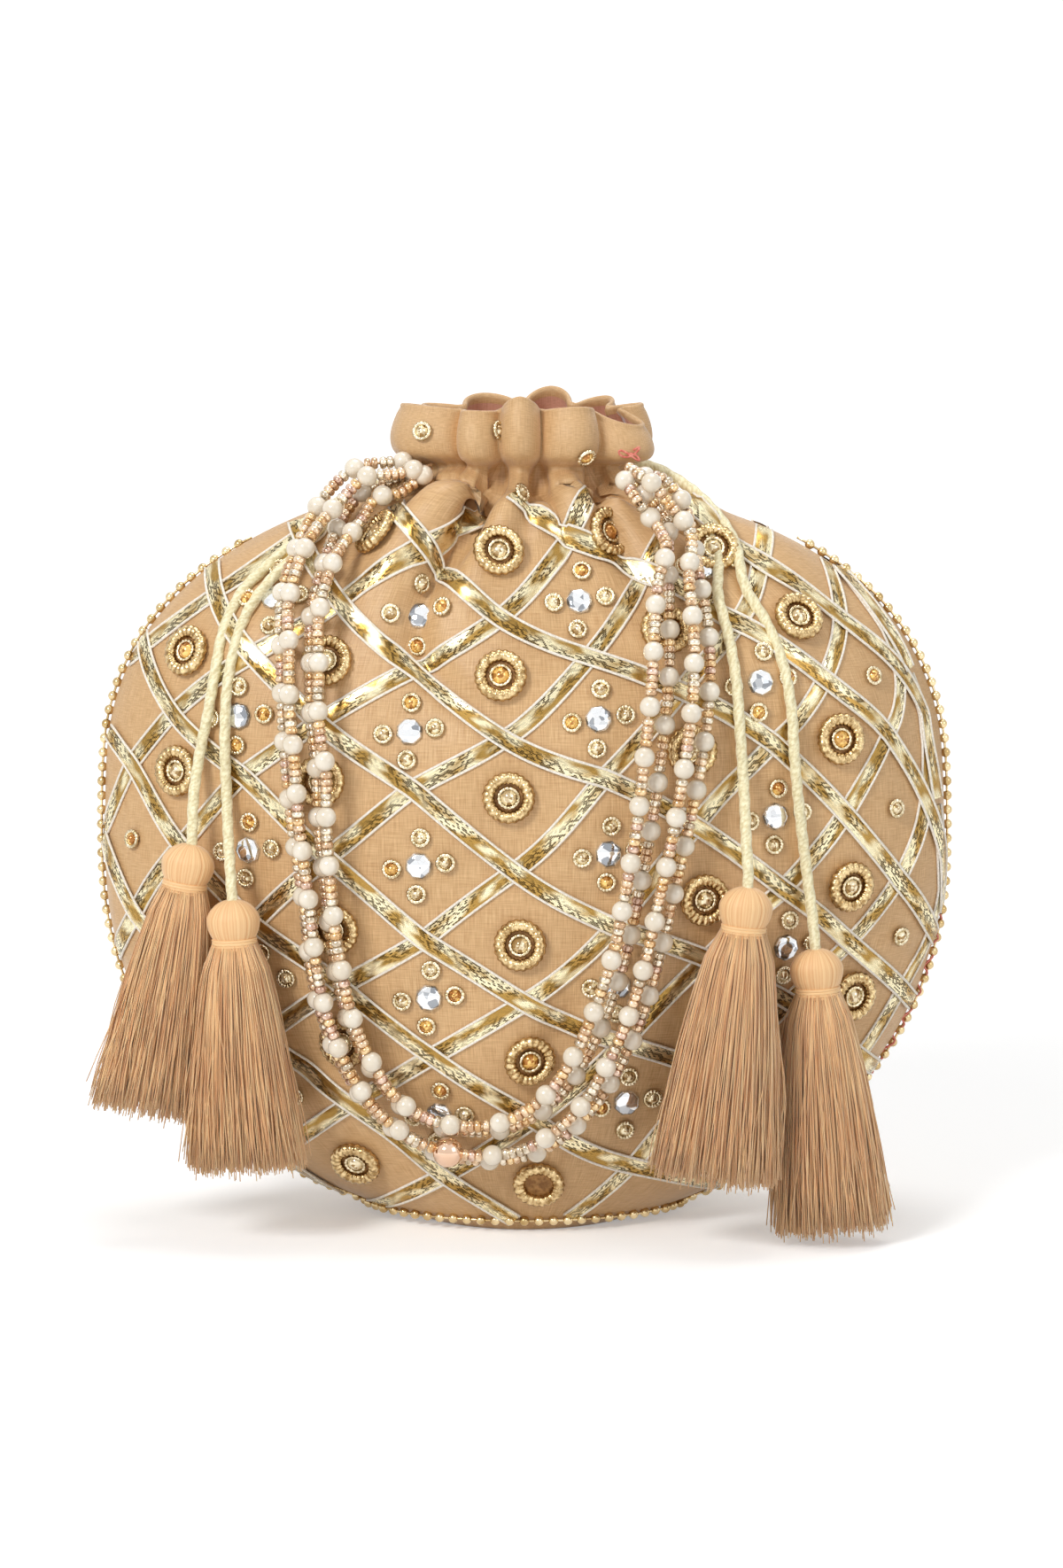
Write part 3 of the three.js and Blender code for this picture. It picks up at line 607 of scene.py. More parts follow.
new_piece(
    "bag_cloth",
    bag_rows,
    grid_faces(len(bag_rows), COLUMNS + 1),
    [tissue, lining_cloth],
    "tissue_fabric",
    np.stack(np.broadcast_arrays(angle * CLOTH_RADIUS, rise[:, None]), axis=-1),
    np.repeat(np.arange(len(bag_rows) - 1) >= len(bag_rows) - len(inside_rows), COLUMNS),
    replaces=["outer_bag"],
)

# %% [markdown]
# The lining is plain. It follows the smooth cloth, set in far enough to clear the creases, and further at the neck
# for the pleats. It ends under the hem, and its faces point into the bag.

# %% The lining
LINING_COLUMNS = 200
LINING_INSET = 6.5
LINING_NECK_INSET = 6
LINING_FOOT = 14.6
LINING_BELOW_RIM = 9
LINING_ROW = 2.6

levels = np.linspace(LINING_FOOT, RIM_HEIGHT - LINING_BELOW_RIM, 90)[:, None]
angle = np.linspace(0, 2 * math.pi, LINING_COLUMNS + 1)[None]
inset = LINING_INSET + LINING_NECK_INSET * smoothstep((levels - 150) / 45)
rows = smooth_cloth(angle, levels) - outward(smooth_cloth, angle, levels) * inset[..., None]
rows = np.concatenate([rows[:1] * [0, 0, 1], rows])
uv = np.stack(np.broadcast_arrays(angle * CLOTH_RADIUS, np.arange(len(rows))[:, None] * LINING_ROW), axis=-1)
faces = grid_faces(len(rows), LINING_COLUMNS + 1)[:, ::-1]
new_piece("lining_cloth", rows, faces, [lining_cloth], "lining_fabric", uv, replaces=["lining"])

# %% [markdown]
# Gilt ribbon is foil woven with dark thread: small bricks along the ribbon, tilted a little by a bump. In slow patches
# some bricks are dark bronze, partly the dark thread and partly a painted dark reflection, and in others the gilt
# is painted near white, a painted highlight. Each edge is a white cord. A brick texture gives the weave and slow noise
# along the ribbon gives the patches.

# %% Ribbon and metal finishes


def ribbon_finish():
    """Foil bricks 1.0 x 0.4 mm: dark joints; in slow patches, bricks of dark bronze, partly dark thread and partly a
    painted dark reflection; elsewhere the gilt is painted near white in patches, a painted highlight.
    """
    material, tree, shader = finish("ribbon_foil", Metallic=0.85, Roughness=0.23)
    uv = put(tree, "UVMap", {}).outputs[0]
    black, white, few, joint = ((v, v, v, 1) for v in (0, 1, 0.12, 0.4))
    sizes = {"Scale": 1, "Mortar Size": 0.05, "Mortar Smooth": 0.3, "Brick Width": 1, "Row Height": 0.4}
    bricks = put(tree, "TexBrick", {"Vector": uv, "Color1": black, "Color2": white, "Mortar": joint, **sizes})
    # painted dark reflection: slow noise patches pick where the bricks turn dark bronze
    painted_reflection_patches = uneven(tree, uv, few, white, stretch=(0.07, 0.16, 1), detail=1, low=0.38, high=0.54)["Color"]
    dark = mixed(tree, two_tone(tree, bricks.outputs["Color"], black, white, 0.42, 0.58), black, painted_reflection_patches)
    # painted highlight: the gilt runs from its plain tone to near white in slow noise patches
    plain, painted_highlight = tone(186, 148, 78), tone(255, 243, 202)
    gilt_with_painted_highlight = uneven(tree, uv, plain, painted_highlight, stretch=(0.1, 0.3, 1), detail=1, low=0.42, high=0.58)["Color"]
    # dark bronze (68, 48, 18): the dark thread, and in its patches a painted dark reflection
    tree.links.new(mixed(tree, dark, gilt_with_painted_highlight, tone(68, 48, 18)), shader.inputs["Base Color"])
    bumped(tree, shader, bricks.outputs["Fac"], -0.12)
    return material


def metal_finish(name, deep, light, roughness, metallic=1.0, grain=1.4):
    """Cast metal: two tones in grains of so many millimetres and a little relief."""
    spread = {"scale": 1 / (grain * MM)}
    return uneven_finish(name, "Object", deep, light, spread, 0.05, Metallic=metallic, Roughness=roughness)


ribbon_foil = ribbon_finish()
edge_cord = metal_finish("edge_cord", (232, 222, 205), (255, 250, 240), 0.6, 0.0, 0.6)
antique_gold = metal_finish("antique_gold", (160, 128, 82), (236, 210, 160), 0.26)
# painted shade: the medallions' shallow well is coloured dark brown and less metallic, standing in for the shade in the
# recess
recess_painted_shade = metal_finish("recess_painted_shade", (134, 92, 48), (180, 134, 80), 0.5, 0.3)
pale_rim = metal_finish("pale_rim", (176, 156, 118), (246, 234, 204), 0.2)
edge_gilt = metal_finish("edge_gilt", (190, 160, 108), (240, 220, 176), 0.18, 1.0, 6)
rose_gilt = metal_finish("rose_gilt", (222, 182, 152), (244, 214, 190), 0.08, 1.0, 20)


def stone_painted_reflection_finish(name, deep, light):
    """Cut crystal: a painted reflection, a deep and a near-white tone on facets that alternate round the stone, read
    from its UV map.
    """
    spread = {"stretch": (2.3, 1.1, 1), "detail": 0, "low": 0.42, "high": 0.58}
    return uneven_finish(name, "UV", deep, light, spread, Metallic=0.55, Roughness=0.08, Coat_Weight=0.6)


# painted reflection: facets are painted in tones from deep to near white, standing in for glints and dark facets
champagne = stone_painted_reflection_finish("champagne_stone", (168, 134, 82), (255, 242, 206))
amber = stone_painted_reflection_finish("amber_stone", (176, 112, 34), (255, 212, 124))


def mirror_finish():
    """Silvered glass, crumpled a little by bump, in cells of bright and darker tone: the darker cells are a painted
    reflection.
    """
    material, tree, shader = finish("cut_mirror", Metallic=0.9, Roughness=0.06)
    place = put(tree, "TexCoord", {}).outputs["Object"]
    cells = put(tree, "TexVoronoi", {"Vector": place, "Scale": 420.0, "Randomness": 1.0})
    relief_and_reflection_cells = put(tree, "SeparateColor", {"Color": cells.outputs["Color"]}).outputs[0]
    # painted reflection: the darker cells stand in for dark surroundings seen in the glass
    painted_reflection_silver = two_tone(tree, relief_and_reflection_cells, tone(160, 164, 170), tone(248, 250, 252), 0.2, 0.45)
    tree.links.new(painted_reflection_silver, shader.inputs["Base Color"])
    bumped(tree, shader, relief_and_reflection_cells, 0.2)
    return material


cut_mirror = mirror_finish()
print("metal and stone finishes made")

# %% [markdown]
# The embroidery follows a lattice that leans and closes up toward the sides. A place has a column and a row, and this
# formula turns both into x and z on the cloth. Medallions sit on even columns and mirrors on odd ones.

# %% The lattice of places
COLUMN_PITCH = 27.6
ROW_LEVELS = np.array([17, 55, 89, 132, 166, 199], float)
COLUMN_LEAN = 0.075
COLUMN_SHIFT = -2
LIFT_RIGHT = 14
LIFT_LEFT = 4
DRAW_IN = 0.3
DRAWN_FROM = 150
DRAWN_OVER = 60


def embroidery_place(column, row):
    """x = (R sin(column pitch / R) + shift - lean (z - 100)) x drawn, z = row height + lift to each side."""
    column, row = np.broadcast_arrays(np.asarray(column, float), np.asarray(row, float))
    index = np.clip(np.floor(row), 0, len(ROW_LEVELS) - 2).astype(int)
    height = ROW_LEVELS[index] + (ROW_LEVELS[index + 1] - ROW_LEVELS[index]) * (row - index)
    z = height + np.where(column > 0, LIFT_RIGHT, LIFT_LEFT) * smoothstep(np.abs(column) / 2.5)
    radius = BODY_WIDTH / 2
    round_x = radius * np.sin(np.clip(column * COLUMN_PITCH / radius, -1.5, 1.5))
    drawn = 1 - DRAW_IN * (np.clip(z - DRAWN_FROM, 0, None) / DRAWN_OVER) ** 1.4
    return (round_x + COLUMN_SHIFT - COLUMN_LEAN * (z - 100)) * drawn, z


# %% [markdown]
# A ribbon is a narrow grid along one line of the lattice. One family of ribbons lies over the other, and both stop at
# the seam, at the neck and just over the base.

# %% Ribbons
RIBBON_WIDTH = 5.0
RIBBON_TOP = 213
RIBBON_FOOT = 3.5
RIBBON_SEAM = 0.6
RIBBON_COLUMNS = 7
UNDER_LIFT = 0.35
OVER_LIFT = 0.95
EDGE_RADIUS = 0.42
FORWARD = (0, 1, 0.2)


def ribbon_runs(direction):
    """Centre lines of one family: column t, row (first + direction t) / 2, cut where the cloth ends."""
    runs = []
    t = np.arange(-8, 8, 0.05)
    for first in range(-21, 27, 2):
        x, z = embroidery_place(t, (first + direction * t) / 2)
        room = (half_sizes(z)[0] - np.abs(x) > RIBBON_SEAM) & (z > RIBBON_FOOT) & (z < RIBBON_TOP)
        ends = np.flatnonzero(np.diff(np.concatenate([[0], room.astype(int), [0]])))
        runs += [(x[a:b], z[a:b]) for a, b in ends.reshape(-1, 2) if b - a > 5]
    return runs


def ribbon_family(direction, side, lift):
    """Ribbon grids and edge lines: centre + s x side direction, with a slight crown across."""
    strips, uvs, edges = [], [], []
    across = np.linspace(-1, 1, RIBBON_COLUMNS)
    for number, (x, z) in enumerate(ribbon_runs(direction)):
        flat = even_path(np.stack([x, z, 0 * x], axis=1), 1.6)
        point, normal = over_cloth(flat[:, 0], flat[:, 1], side, lift)
        sideways = np.cross(normal, unit(np.gradient(point, axis=0)))
        wobble = 0.35 * np.sin(flat[:, 0] / 9 + number) + 0.2 * np.sin(flat[:, 1] / 5)
        reach = across[None] * RIBBON_WIDTH / 2 + wobble[:, None]
        foot = flat[:, None, :2] + reach[..., None] * sideways[:, None][..., [0, 2]]
        strip, up = over_cloth(foot[..., 0], foot[..., 1], side, lift + 0.18 * (1 - across[None] ** 2))
        length = distances_along(point)
        strips.append((strip.reshape(-1, 3), grid_faces(len(flat), RIBBON_COLUMNS)))
        uvs.append(np.stack(np.broadcast_arrays(length[:, None] + 37 * number, reach), axis=-1).reshape(-1, 2))
        edges += [strip[:, 0] + 0.05 * up[:, 0], strip[:, -1] + 0.05 * up[:, -1]]
    return *merged(strips), np.concatenate(uvs), edges


for side, where in ((1, "front"), (-1, "back")):
    families = [ribbon_family(1, side, UNDER_LIFT), ribbon_family(-1, side, OVER_LIFT)]
    uv = np.concatenate([family[2] for family in families])
    lattice = [f"{where}_ribbon_lattice"]
    new_piece(f"{where}_ribbons", *merged(families), [ribbon_foil], "metallic_ribbon", uv, replaces=lattice)
    cords = [tubes(line[None], EDGE_RADIUS, 5, FORWARD) for family in families for line in family[3]]
    new_piece(f"{where}_ribbon_edges", *merged(cords), [edge_cord], "metallic_ribbon")

# %% [markdown]
# A medallion is a cast ring with 22 flutes round a well painted dark brown as painted shade, and in the well a small
# stone in a beaded rim. The flutes are a cosine's absolute value on the ring's tube. One template is copied to every
# place, and its faces are numbered by finish: cast gold, recess in painted shade, rim and stone.

# %% Ornament templates
CAST, RECESS, RIM, STONE = range(4)
STONE_SIDES = 8


def fluted_ring(radius, thick, flutes, depth, columns, rows, height):
    """Torus: x = (R + r cos b) cos a, z = h + r sin b, with r swelling by |cos(flutes a / 2)|."""
    a = np.linspace(0, 2 * math.pi, columns + 1)[None]
    b = np.linspace(0, 2 * math.pi, rows + 1)[:, None]
    swell = thick * (1 - depth + depth * np.abs(np.cos(flutes * a / 2)))
    r = radius + swell * np.cos(b)
    points = np.stack([r * np.cos(a), r * np.sin(a), height + swell * np.sin(b) + 0 * a], axis=-1)
    return points.reshape(-1, 3), grid_faces(rows + 1, columns + 1)[:, ::-1]


def template(parts):
    """Parts (points, faces, kind, uv) as points, faces, kinds and UV."""
    kinds = np.concatenate([np.full(len(part[1]), part[2]) for part in parts])
    uvs = [np.zeros((len(part[0]), 2)) if part[3] is None else part[3] for part in parts]
    return *merged(parts), kinds, np.concatenate(uvs)


def stone_part(radius, height, lift, seed):
    """A low cone cut in eight with a girdle. All corners of a facet share one UV point, so that it has one tone of
    painted reflection.
    """
    points, faces = revolved([[0, height], [radius * 0.45, height * 0.8], [radius, 0], [radius, -0.4]], STONE_SIDES)
    corners = points[faces.ravel()] + [0, 0, lift]
    facet = np.repeat(np.arange(len(faces)), 4)
    # the UV point of each facet picks its tone of painted reflection
    uv = np.stack([facet * 1.7 + seed, facet * 0.9 + seed * 2.3], axis=1)
    return corners, np.arange(len(corners)).reshape(-1, 4)[:, ::-1], STONE, uv


def medallion_parts(with_stone):
    """Ring, well and, where it is still there, the stone in its beaded rim."""
    well, cells = revolved([[0, 0.6], [3.4, 0.8], [4.6, 0.7]], 20)
    # the well's faces take the recess finish, a painted shade
    parts = [(*fluted_ring(5.8, 1.9, 22, 0.24, 110, 8, 1.3), CAST, None), (well, cells[:, ::-1], RECESS, None)]
    if with_stone:
        parts.append((*fluted_ring(2.85, 0.62, 16, 0.35, 64, 6, 1.55), RIM, None))
        parts.append(stone_part(2.5, 1.4, 1.6, 1.0))
    return template(parts)


def stud_parts():
    """A small stone in a beaded rim."""
    return template([(*fluted_ring(2.3, 0.72, 15, 0.3, 60, 6, 0.75), RIM, None), stone_part(1.9, 1.3, 0.9, 2.0)])


def seated(x, z, side, lift, spin):
    """Origins and axes of pieces that sit on the cloth at x and z, turned about the normal by a spin each."""
    origin, normal = over_cloth(x, z, side, lift)
    level = unit(np.cross([0, 0, 1.0], normal))
    level, steep = level * np.cos(spin)[:, None], np.cross(normal, level) * np.sin(spin)[:, None]
    first = unit(level + steep)
    return origin, np.stack([first, np.cross(normal, first), normal], axis=-1)


def ornament_piece(name, parts, places, side, lift, finishes=None, slot="antique_gold", replaces=()):
    """One mesh with the template at every place; every third stone is amber."""
    points, faces, kinds, uv = parts
    number = np.arange(len(places[0]))
    all_points, all_faces = copies(points, faces, *seated(*places, side, lift, number * 2.4))
    all_uv = np.tile(uv, (len(number), 1)) + np.repeat(number * 3.1, len(uv))[:, None]
    all_kinds = np.tile(kinds, (len(number), 1))
    all_kinds[::3] += all_kinds[::3] == STONE
    finishes = finishes or [antique_gold, recess_painted_shade, pale_rim, champagne, amber]
    new_piece(name, all_points, all_faces, finishes, slot, all_uv, all_kinds.ravel(), replaces=replaces)


# %% [markdown]
# The places are lists of lattice numbers with a few that were stitched on by eye near the neck. A mirror has four
# studs round it, and single studs fill the outer columns and the ruffle.

# %% Medallions, mirrors and studs


def lattice_places(columns, first_row, margin, top):
    """x and z of every whole row of these columns that lies inside the seam."""
    column, step = np.meshgrid(columns, np.arange(7), indexing="ij")
    x, z = embroidery_place(column, first_row + step)
    keep = (half_sizes(z)[0] - np.abs(x) > margin) & (z > 10) & (z < top)
    return x[keep], z[keep]


def joined(*groups):
    """Several (x, z) groups as one."""
    return tuple(np.concatenate([np.asarray(group[k], float) for group in groups]) for k in (0, 1))


SEAM_MARGIN = 9
NEAR_NECK = ([-41, 24, 55], [203, 205, 201])
LOOSE_STUDS = ([-28, -8.5, 16, -1], [236, 237, 229, 214.5])
STUDS_ROUND_MIRROR = ((7.6, 1), (-7.6, -1), (0.6, 8.2), (-0.6, -8.2))
NOWHERE = ([], [])


def nodes_called(start):
    """The solids whose names start so."""
    return [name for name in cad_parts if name.startswith(start)]


for side, where in ((1, "front"), (-1, "back")):
    x, z = lattice_places([-4, -2, 0, 2, 4], 0, SEAM_MARGIN, 201)
    bare = (np.abs(x) < 12) & (z < 20) & (side > 0)
    places = joined((x[~bare], z[~bare]), NEAR_NECK if side > 0 else NOWHERE)
    cad = nodes_called(f"{where}_medallion")
    ornament_piece(f"{where}_medallions", medallion_parts(True), places, side, 0.35, replaces=cad)
    if bare.any():
        ornament_piece("bare_ring", medallion_parts(False), (x[bare], z[bare]), side, 0.35)
    mirrors = lattice_places([-3, -1, 1, 3], 0.5, SEAM_MARGIN, 197)
    disc, cells = revolved([[0, 1.2], [3.1, 1.25], [3.9, 0.6], [4.0, -0.2]], 8)
    pane, cad = template([(disc, cells[:, ::-1], 0, None)]), nodes_called(f"{where}_mirror")
    ornament_piece(f"{where}_mirrors", pane, mirrors, side, 0.4, [cut_mirror], "cut_mirror", cad)
    spread = [(mirrors[0] + dx, mirrors[1] + dz) for dx, dz in STUDS_ROUND_MIRROR]
    edge = lattice_places([-5, 5], 0.5, 4.5, 190)
    studs = joined(*spread, edge, LOOSE_STUDS if side > 0 else NOWHERE)
    ornament_piece(f"{where}_studs", stud_parts(), studs, side, 0.3)

# %% [markdown]
# The seam is edged with gilt balls on a thread. Their line goes down one side, along the front edge of the base and
# up the other side. It lies nearly a ball's radius clear of the cloth, since the balls press into it a little.

# %% The edge of balls
BALL_DIAMETER = 3.0
BALL_PITCH = 4.3
BALLS_START = 201
BALLS_FOOT = 4
BALL_PRESSED_IN = 0.5
ALONG_SEAM = (0, 1, 0.05)

turn = np.linspace(1, 0, 120, endpoint=False)
level = BALLS_FOOT + (BALLS_START - BALLS_FOOT) * np.sin(turn * math.pi / 2) ** 2
slope = half_sizes(level + 0.25)[0] - half_sizes(level - 0.25)[0]
lean = unit(np.stack([0.5 + 0 * slope, 0 * slope, -slope], axis=-1))
clear = BALL_DIAMETER / 2 - BALL_PRESSED_IN
right = np.stack([half_sizes(level)[0], 0 * level, level], axis=-1) + lean * clear
sweep = np.arange(1, 12) / 12 * math.pi
foot = smooth_cloth(sweep, BALLS_FOOT) + clear * outward(smooth_cloth, sweep, BALLS_FOOT)
seam = np.concatenate([right, foot, right[::-1] * [-1, 1, 1]])
ball_places = even_path(seam, BALL_PITCH)[1:-1]
tangent, normal, binormal = path_frames(ball_places, ALONG_SEAM)
balls = copies(*ball(BALL_DIAMETER, 9, 14), ball_places, np.stack([normal, binormal, tangent], axis=-1))
chain = merged([balls, tubes(even_path(seam, 3)[None], 0.4, 6, ALONG_SEAM)])
new_piece("edge_balls", *chain, [edge_gilt], "gilt", replaces=["edge_ball_chain"])

# %% [markdown]
# A coral thread was used to mend the right side of the seam. It winds in and out between the balls there, and a short
# end of it shows at the pinch. Its line is the seam with a sine to each side of it.

# %% The coral thread
MENDED_FROM = 34
MENDED_TO = 92
STITCH = 0.6

coral_tones = (214, 106, 92), (240, 158, 142)
coral = uneven_finish("coral_thread", "Object", *coral_tones, {"scale": 900}, Roughness=0.6)
mended = even_path(seam[(seam[:, 0] > 0) & (seam[:, 2] > MENDED_FROM) & (seam[:, 2] < MENDED_TO)], STITCH)
wind = np.arange(len(mended)) * STITCH
mended = mended + np.stack([0.9 * np.sin(wind / 0.9) - 0.6, -1.1 + 0.7 * np.sin(wind / 1.4), 0 * wind], axis=1)
knot = np.linspace(0, 1, 60)
neck_end = np.stack([30.5 + 3 * np.sin(knot * 9), -15.5 + 0 * knot, 226.5 + 2 * knot + 1.2 * np.cos(knot * 14)], axis=1)
threads = merged([tubes(line[None], 0.32, 6, (0, 1, 0.3)) for line in (mended, neck_end)])
new_piece("coral_mending", *threads, [coral], "silk_thread")

# %% [markdown]
# The handle is four strings of pearls, each pearl parted from the next by a few glass seed beads. Their routes lie
# over the cloth and are lists of given points, inner and outer; the other two strings lie between them, and every
# second one rides on its neighbours.

# %% Routes of the strings
INNER_STRAND = [
    (-29, 223.5, -9), (-39, 216, -13), (-44.5, 214.5, -14), (-50, 206, -18), (-54, 195), (-57, 181), (-57, 167),
    (-57, 153), (-55, 139), (-55, 124), (-54, 110), (-53, 97), (-51, 84), (-48, 70), (-42, 56), (-34, 45),
    (-21, 39), (-6, 40), (6, 48), (14, 60), (20, 74), (25, 90), (28, 106), (31, 124), (33, 142), (35, 160),
    (36, 176), (37, 190), (38, 200), (38.5, 207.5, -26), (34, 213, -26), (28, 219.5, -19),
]  # fmt: skip
OUTER_STRAND = [
    (-29, 225, -9), (-39, 225, -13), (-49, 223.5, -14), (-58, 215.5, -17), (-65, 203), (-70, 188), (-70, 173),
    (-69.5, 158), (-68.5, 142), (-67, 127), (-65, 112), (-63, 98), (-61.5, 82), (-58, 66.5), (-51, 50), (-40, 36),
    (-21, 26), (2, 27), (17, 38), (27, 53), (34, 69), (39, 87), (43, 105), (47, 123), (50.5, 141), (53, 160),
    (53, 177), (50.5, 193), (48.5, 205), (46, 214, -25.5), (40, 221, -24.5), (31, 221, -18),
]  # fmt: skip
STRAND_DIAMETER = 6.0
STRAND_LIFT = 3.2
STRAND_LAYER = 5.9
SHOULDER_LIFT = 1.6
RESTING_STEPS = 12
RESTING_SHARE = 0.7


def above_foot(x, z, height):
    """The point at a height over the solids' cloth at x and z of its foot."""
    angle = np.arccos(np.clip(x / half_sizes(z, SHOULDER_HEIGHT)[0], -0.999, 0.999))
    return gathered_cloth(angle, z) + outward(gathered_cloth, angle, z) * height


def resting_at(x, z, height):
    """The point over the cloth that shows at x and z from the front: its foot is moved by what is missing."""
    foot_x, foot_z = x, z
    for _ in range(RESTING_STEPS):
        point = above_foot(foot_x, foot_z, height)
        foot_x = foot_x + RESTING_SHARE * (x - point[..., 0])
        foot_z = np.maximum(0.5, foot_z + RESTING_SHARE * (z - point[..., 2]))
    return above_foot(foot_x, foot_z, height)


def route_point(spot, height):
    """A given point (x, z, y) as it is, or (x, z) at a height over the cloth."""
    x, z = np.float64(spot[0]), np.float64(spot[1])
    return np.array([x, spot[2], z]) if len(spot) == 3 else resting_at(x, z, height)


def strand_points(spots):
    """The points of a string, a little higher on the shoulder, where it crosses ribbons and medallions."""
    height = STRAND_LIFT + STRAND_DIAMETER / 2
    return np.array([route_point(spot, height + SHOULDER_LIFT * smoothstep((spot[1] - 185) / 15)) for spot in spots])


def strand_route(share, raised):
    """Points part of the way from the inner to the outer route; a raised string lies one layer out from the bag."""
    inner, outer = strand_points(INNER_STRAND), strand_points(OUTER_STRAND)
    ahead = np.concatenate([inner[1:], inner[-1:]]) - np.concatenate([inner[:1], inner[:-1]])
    away = unit(np.cross(outer - inner, ahead))
    between = [tuple(a + share * (b - a) for a, b in zip(p, q)) for p, q in zip(INNER_STRAND, OUTER_STRAND)]
    route = strand_points(between)
    return route + away * STRAND_LAYER if raised else route


strand_paths = [smooth_path(strand_route(i / 3, i % 2 == 0), 0.5) for i in range(4)]
print("strings", [round(path_length(path)) for path in strand_paths], "mm")

# %% [markdown]
# Pearl lustre is a pale body under a clear coat. Seed beads are lined glass: a tinted shell that gleams like metal.
# The cord is satin: fine streaks along it from noise over its UV map.

# %% Pearl, bead and cord finishes
COATED = {"Coat_Weight": 0.7, "Coat_Roughness": 0.06, "Specular_IOR_Level": 0.6}


def lustre_finish(name, deep, light, roughness, metallic, grain):
    """Lustre: two near tones by slow noise under a clear coat."""
    spread = {"scale": 1 / (grain * MM), "detail": 1, "low": 0.4, "high": 0.6}
    return uneven_finish(name, "Object", deep, light, spread, Metallic=metallic, Roughness=roughness, **COATED)


pearl = lustre_finish("pearl", (232, 219, 197), (242, 232, 214), 0.18, 0.0, 5)
bead_finishes = [
    lustre_finish("bead_champagne", (198, 160, 122), (244, 218, 184), 0.12, 0.7, 2),
    lustre_finish("bead_amber", (202, 158, 106), (244, 214, 164), 0.12, 0.7, 2),
    lustre_finish("bead_silver", (190, 172, 146), (244, 232, 210), 0.12, 0.8, 2),
    lustre_finish("bead_mauve", (190, 152, 130), (236, 206, 184), 0.12, 0.7, 2),
]
cord_ridges = {"stretch": (60, 9, 1), "low": 0.38, "high": 0.6}
cord_tones = (226, 212, 164), (252, 244, 206)
satin_cord = uneven_finish("satin_cord", "UV", *cord_tones, cord_ridges, 0.25, Roughness=0.42, Sheen_Weight=0.3)

# %% [markdown]
# A string is filled from one end: a pearl, four or five seed beads, a pearl, and so on, each turned along the string.

# %% The bead strings
PEARL_DIAMETER = 6.0
SEED_LENGTH = 2.05
SEED_GAP = 0.06
BALL_ON_HANDLE = 8.8
FIRST_LUCK = 20
SEED_SHARES = [0.4, 0.2, 0.25, 0.15]
STRING_RADIUS = 0.45
BESIDE_STRING = (0, 1, 0.1)

pearl_ball = ball(PEARL_DIAMETER, 13, 20)
half = SEED_LENGTH / 2 - SEED_GAP
seed_half = [(0.5, -half), (1.35, -half), (1.75, -half * 0.6)]
seed_bead = revolved(seed_half + [(1.85, 0)] + [(r, -z) for r, z in seed_half[::-1]], 12)


def bead_stations(length, number):
    """How far along its string each pearl and each seed bead sits; every third gap has five seeds, others four."""
    pearls, seeds, at, group = [], [], PEARL_DIAMETER / 2 + number * 1.3, number
    while at < length - PEARL_DIAMETER / 2:
        pearls.append(at)
        count = 4 + (group % 3 == 1)
        seeds += [at + PEARL_DIAMETER / 2 + SEED_LENGTH * (k + 0.5) for k in range(count)]
        at += PEARL_DIAMETER + SEED_LENGTH * count
        group += 1
    return pearls, [station for station in seeds if station < length - 1]


for number, path in enumerate(strand_paths):
    length = path_length(path)
    pearls, seeds = bead_stations(length, number)
    tangent, normal, binormal = path_frames(path, BESIDE_STRING)
    turns = np.stack([normal, binormal, tangent], axis=-1)
    blocks = []
    for bead, stations in ((pearl_ball, pearls), (seed_bead, seeds)):
        at = np.searchsorted(np.linspace(0, length, len(path)), stations).clip(0, len(path) - 1)
        blocks.append(copies(*bead, path[at], turns[at]))
    blocks.append(tubes(path[::8][None], STRING_RADIUS, 6, BESIDE_STRING))
    tints = np.random.default_rng(FIRST_LUCK + number).choice(4, len(seeds), p=SEED_SHARES) + 1
    kinds = [np.zeros(len(blocks[0][1])), np.repeat(tints, len(seed_bead[1])), np.ones(len(blocks[2][1]))]
    string = new_piece(
        f"bead_string_{number + 1}", *merged(blocks), [pearl, *bead_finishes], "pearl_and_bead",
        kinds=np.concatenate(kinds), body="handle", replaces=[f"handle_strand_{number + 1}"],
    )  # fmt: skip

polished, cells = ball(BALL_ON_HANDLE, 13, 32)
half_way = strand_paths[2][len(strand_paths[2]) // 2 - 4]
polished = polished + half_way
new_piece("handle_ball_polished", polished, cells, [rose_gilt], "gilt", body="handle", replaces=["handle_ball"])

# %% [markdown]
# Each drawcord comes out of its casing at the neck and hangs to its tassel. The cord is a tube with three raised
# strands that wind round it: its radius is a constant plus a cosine of three times the turn less the distance run.

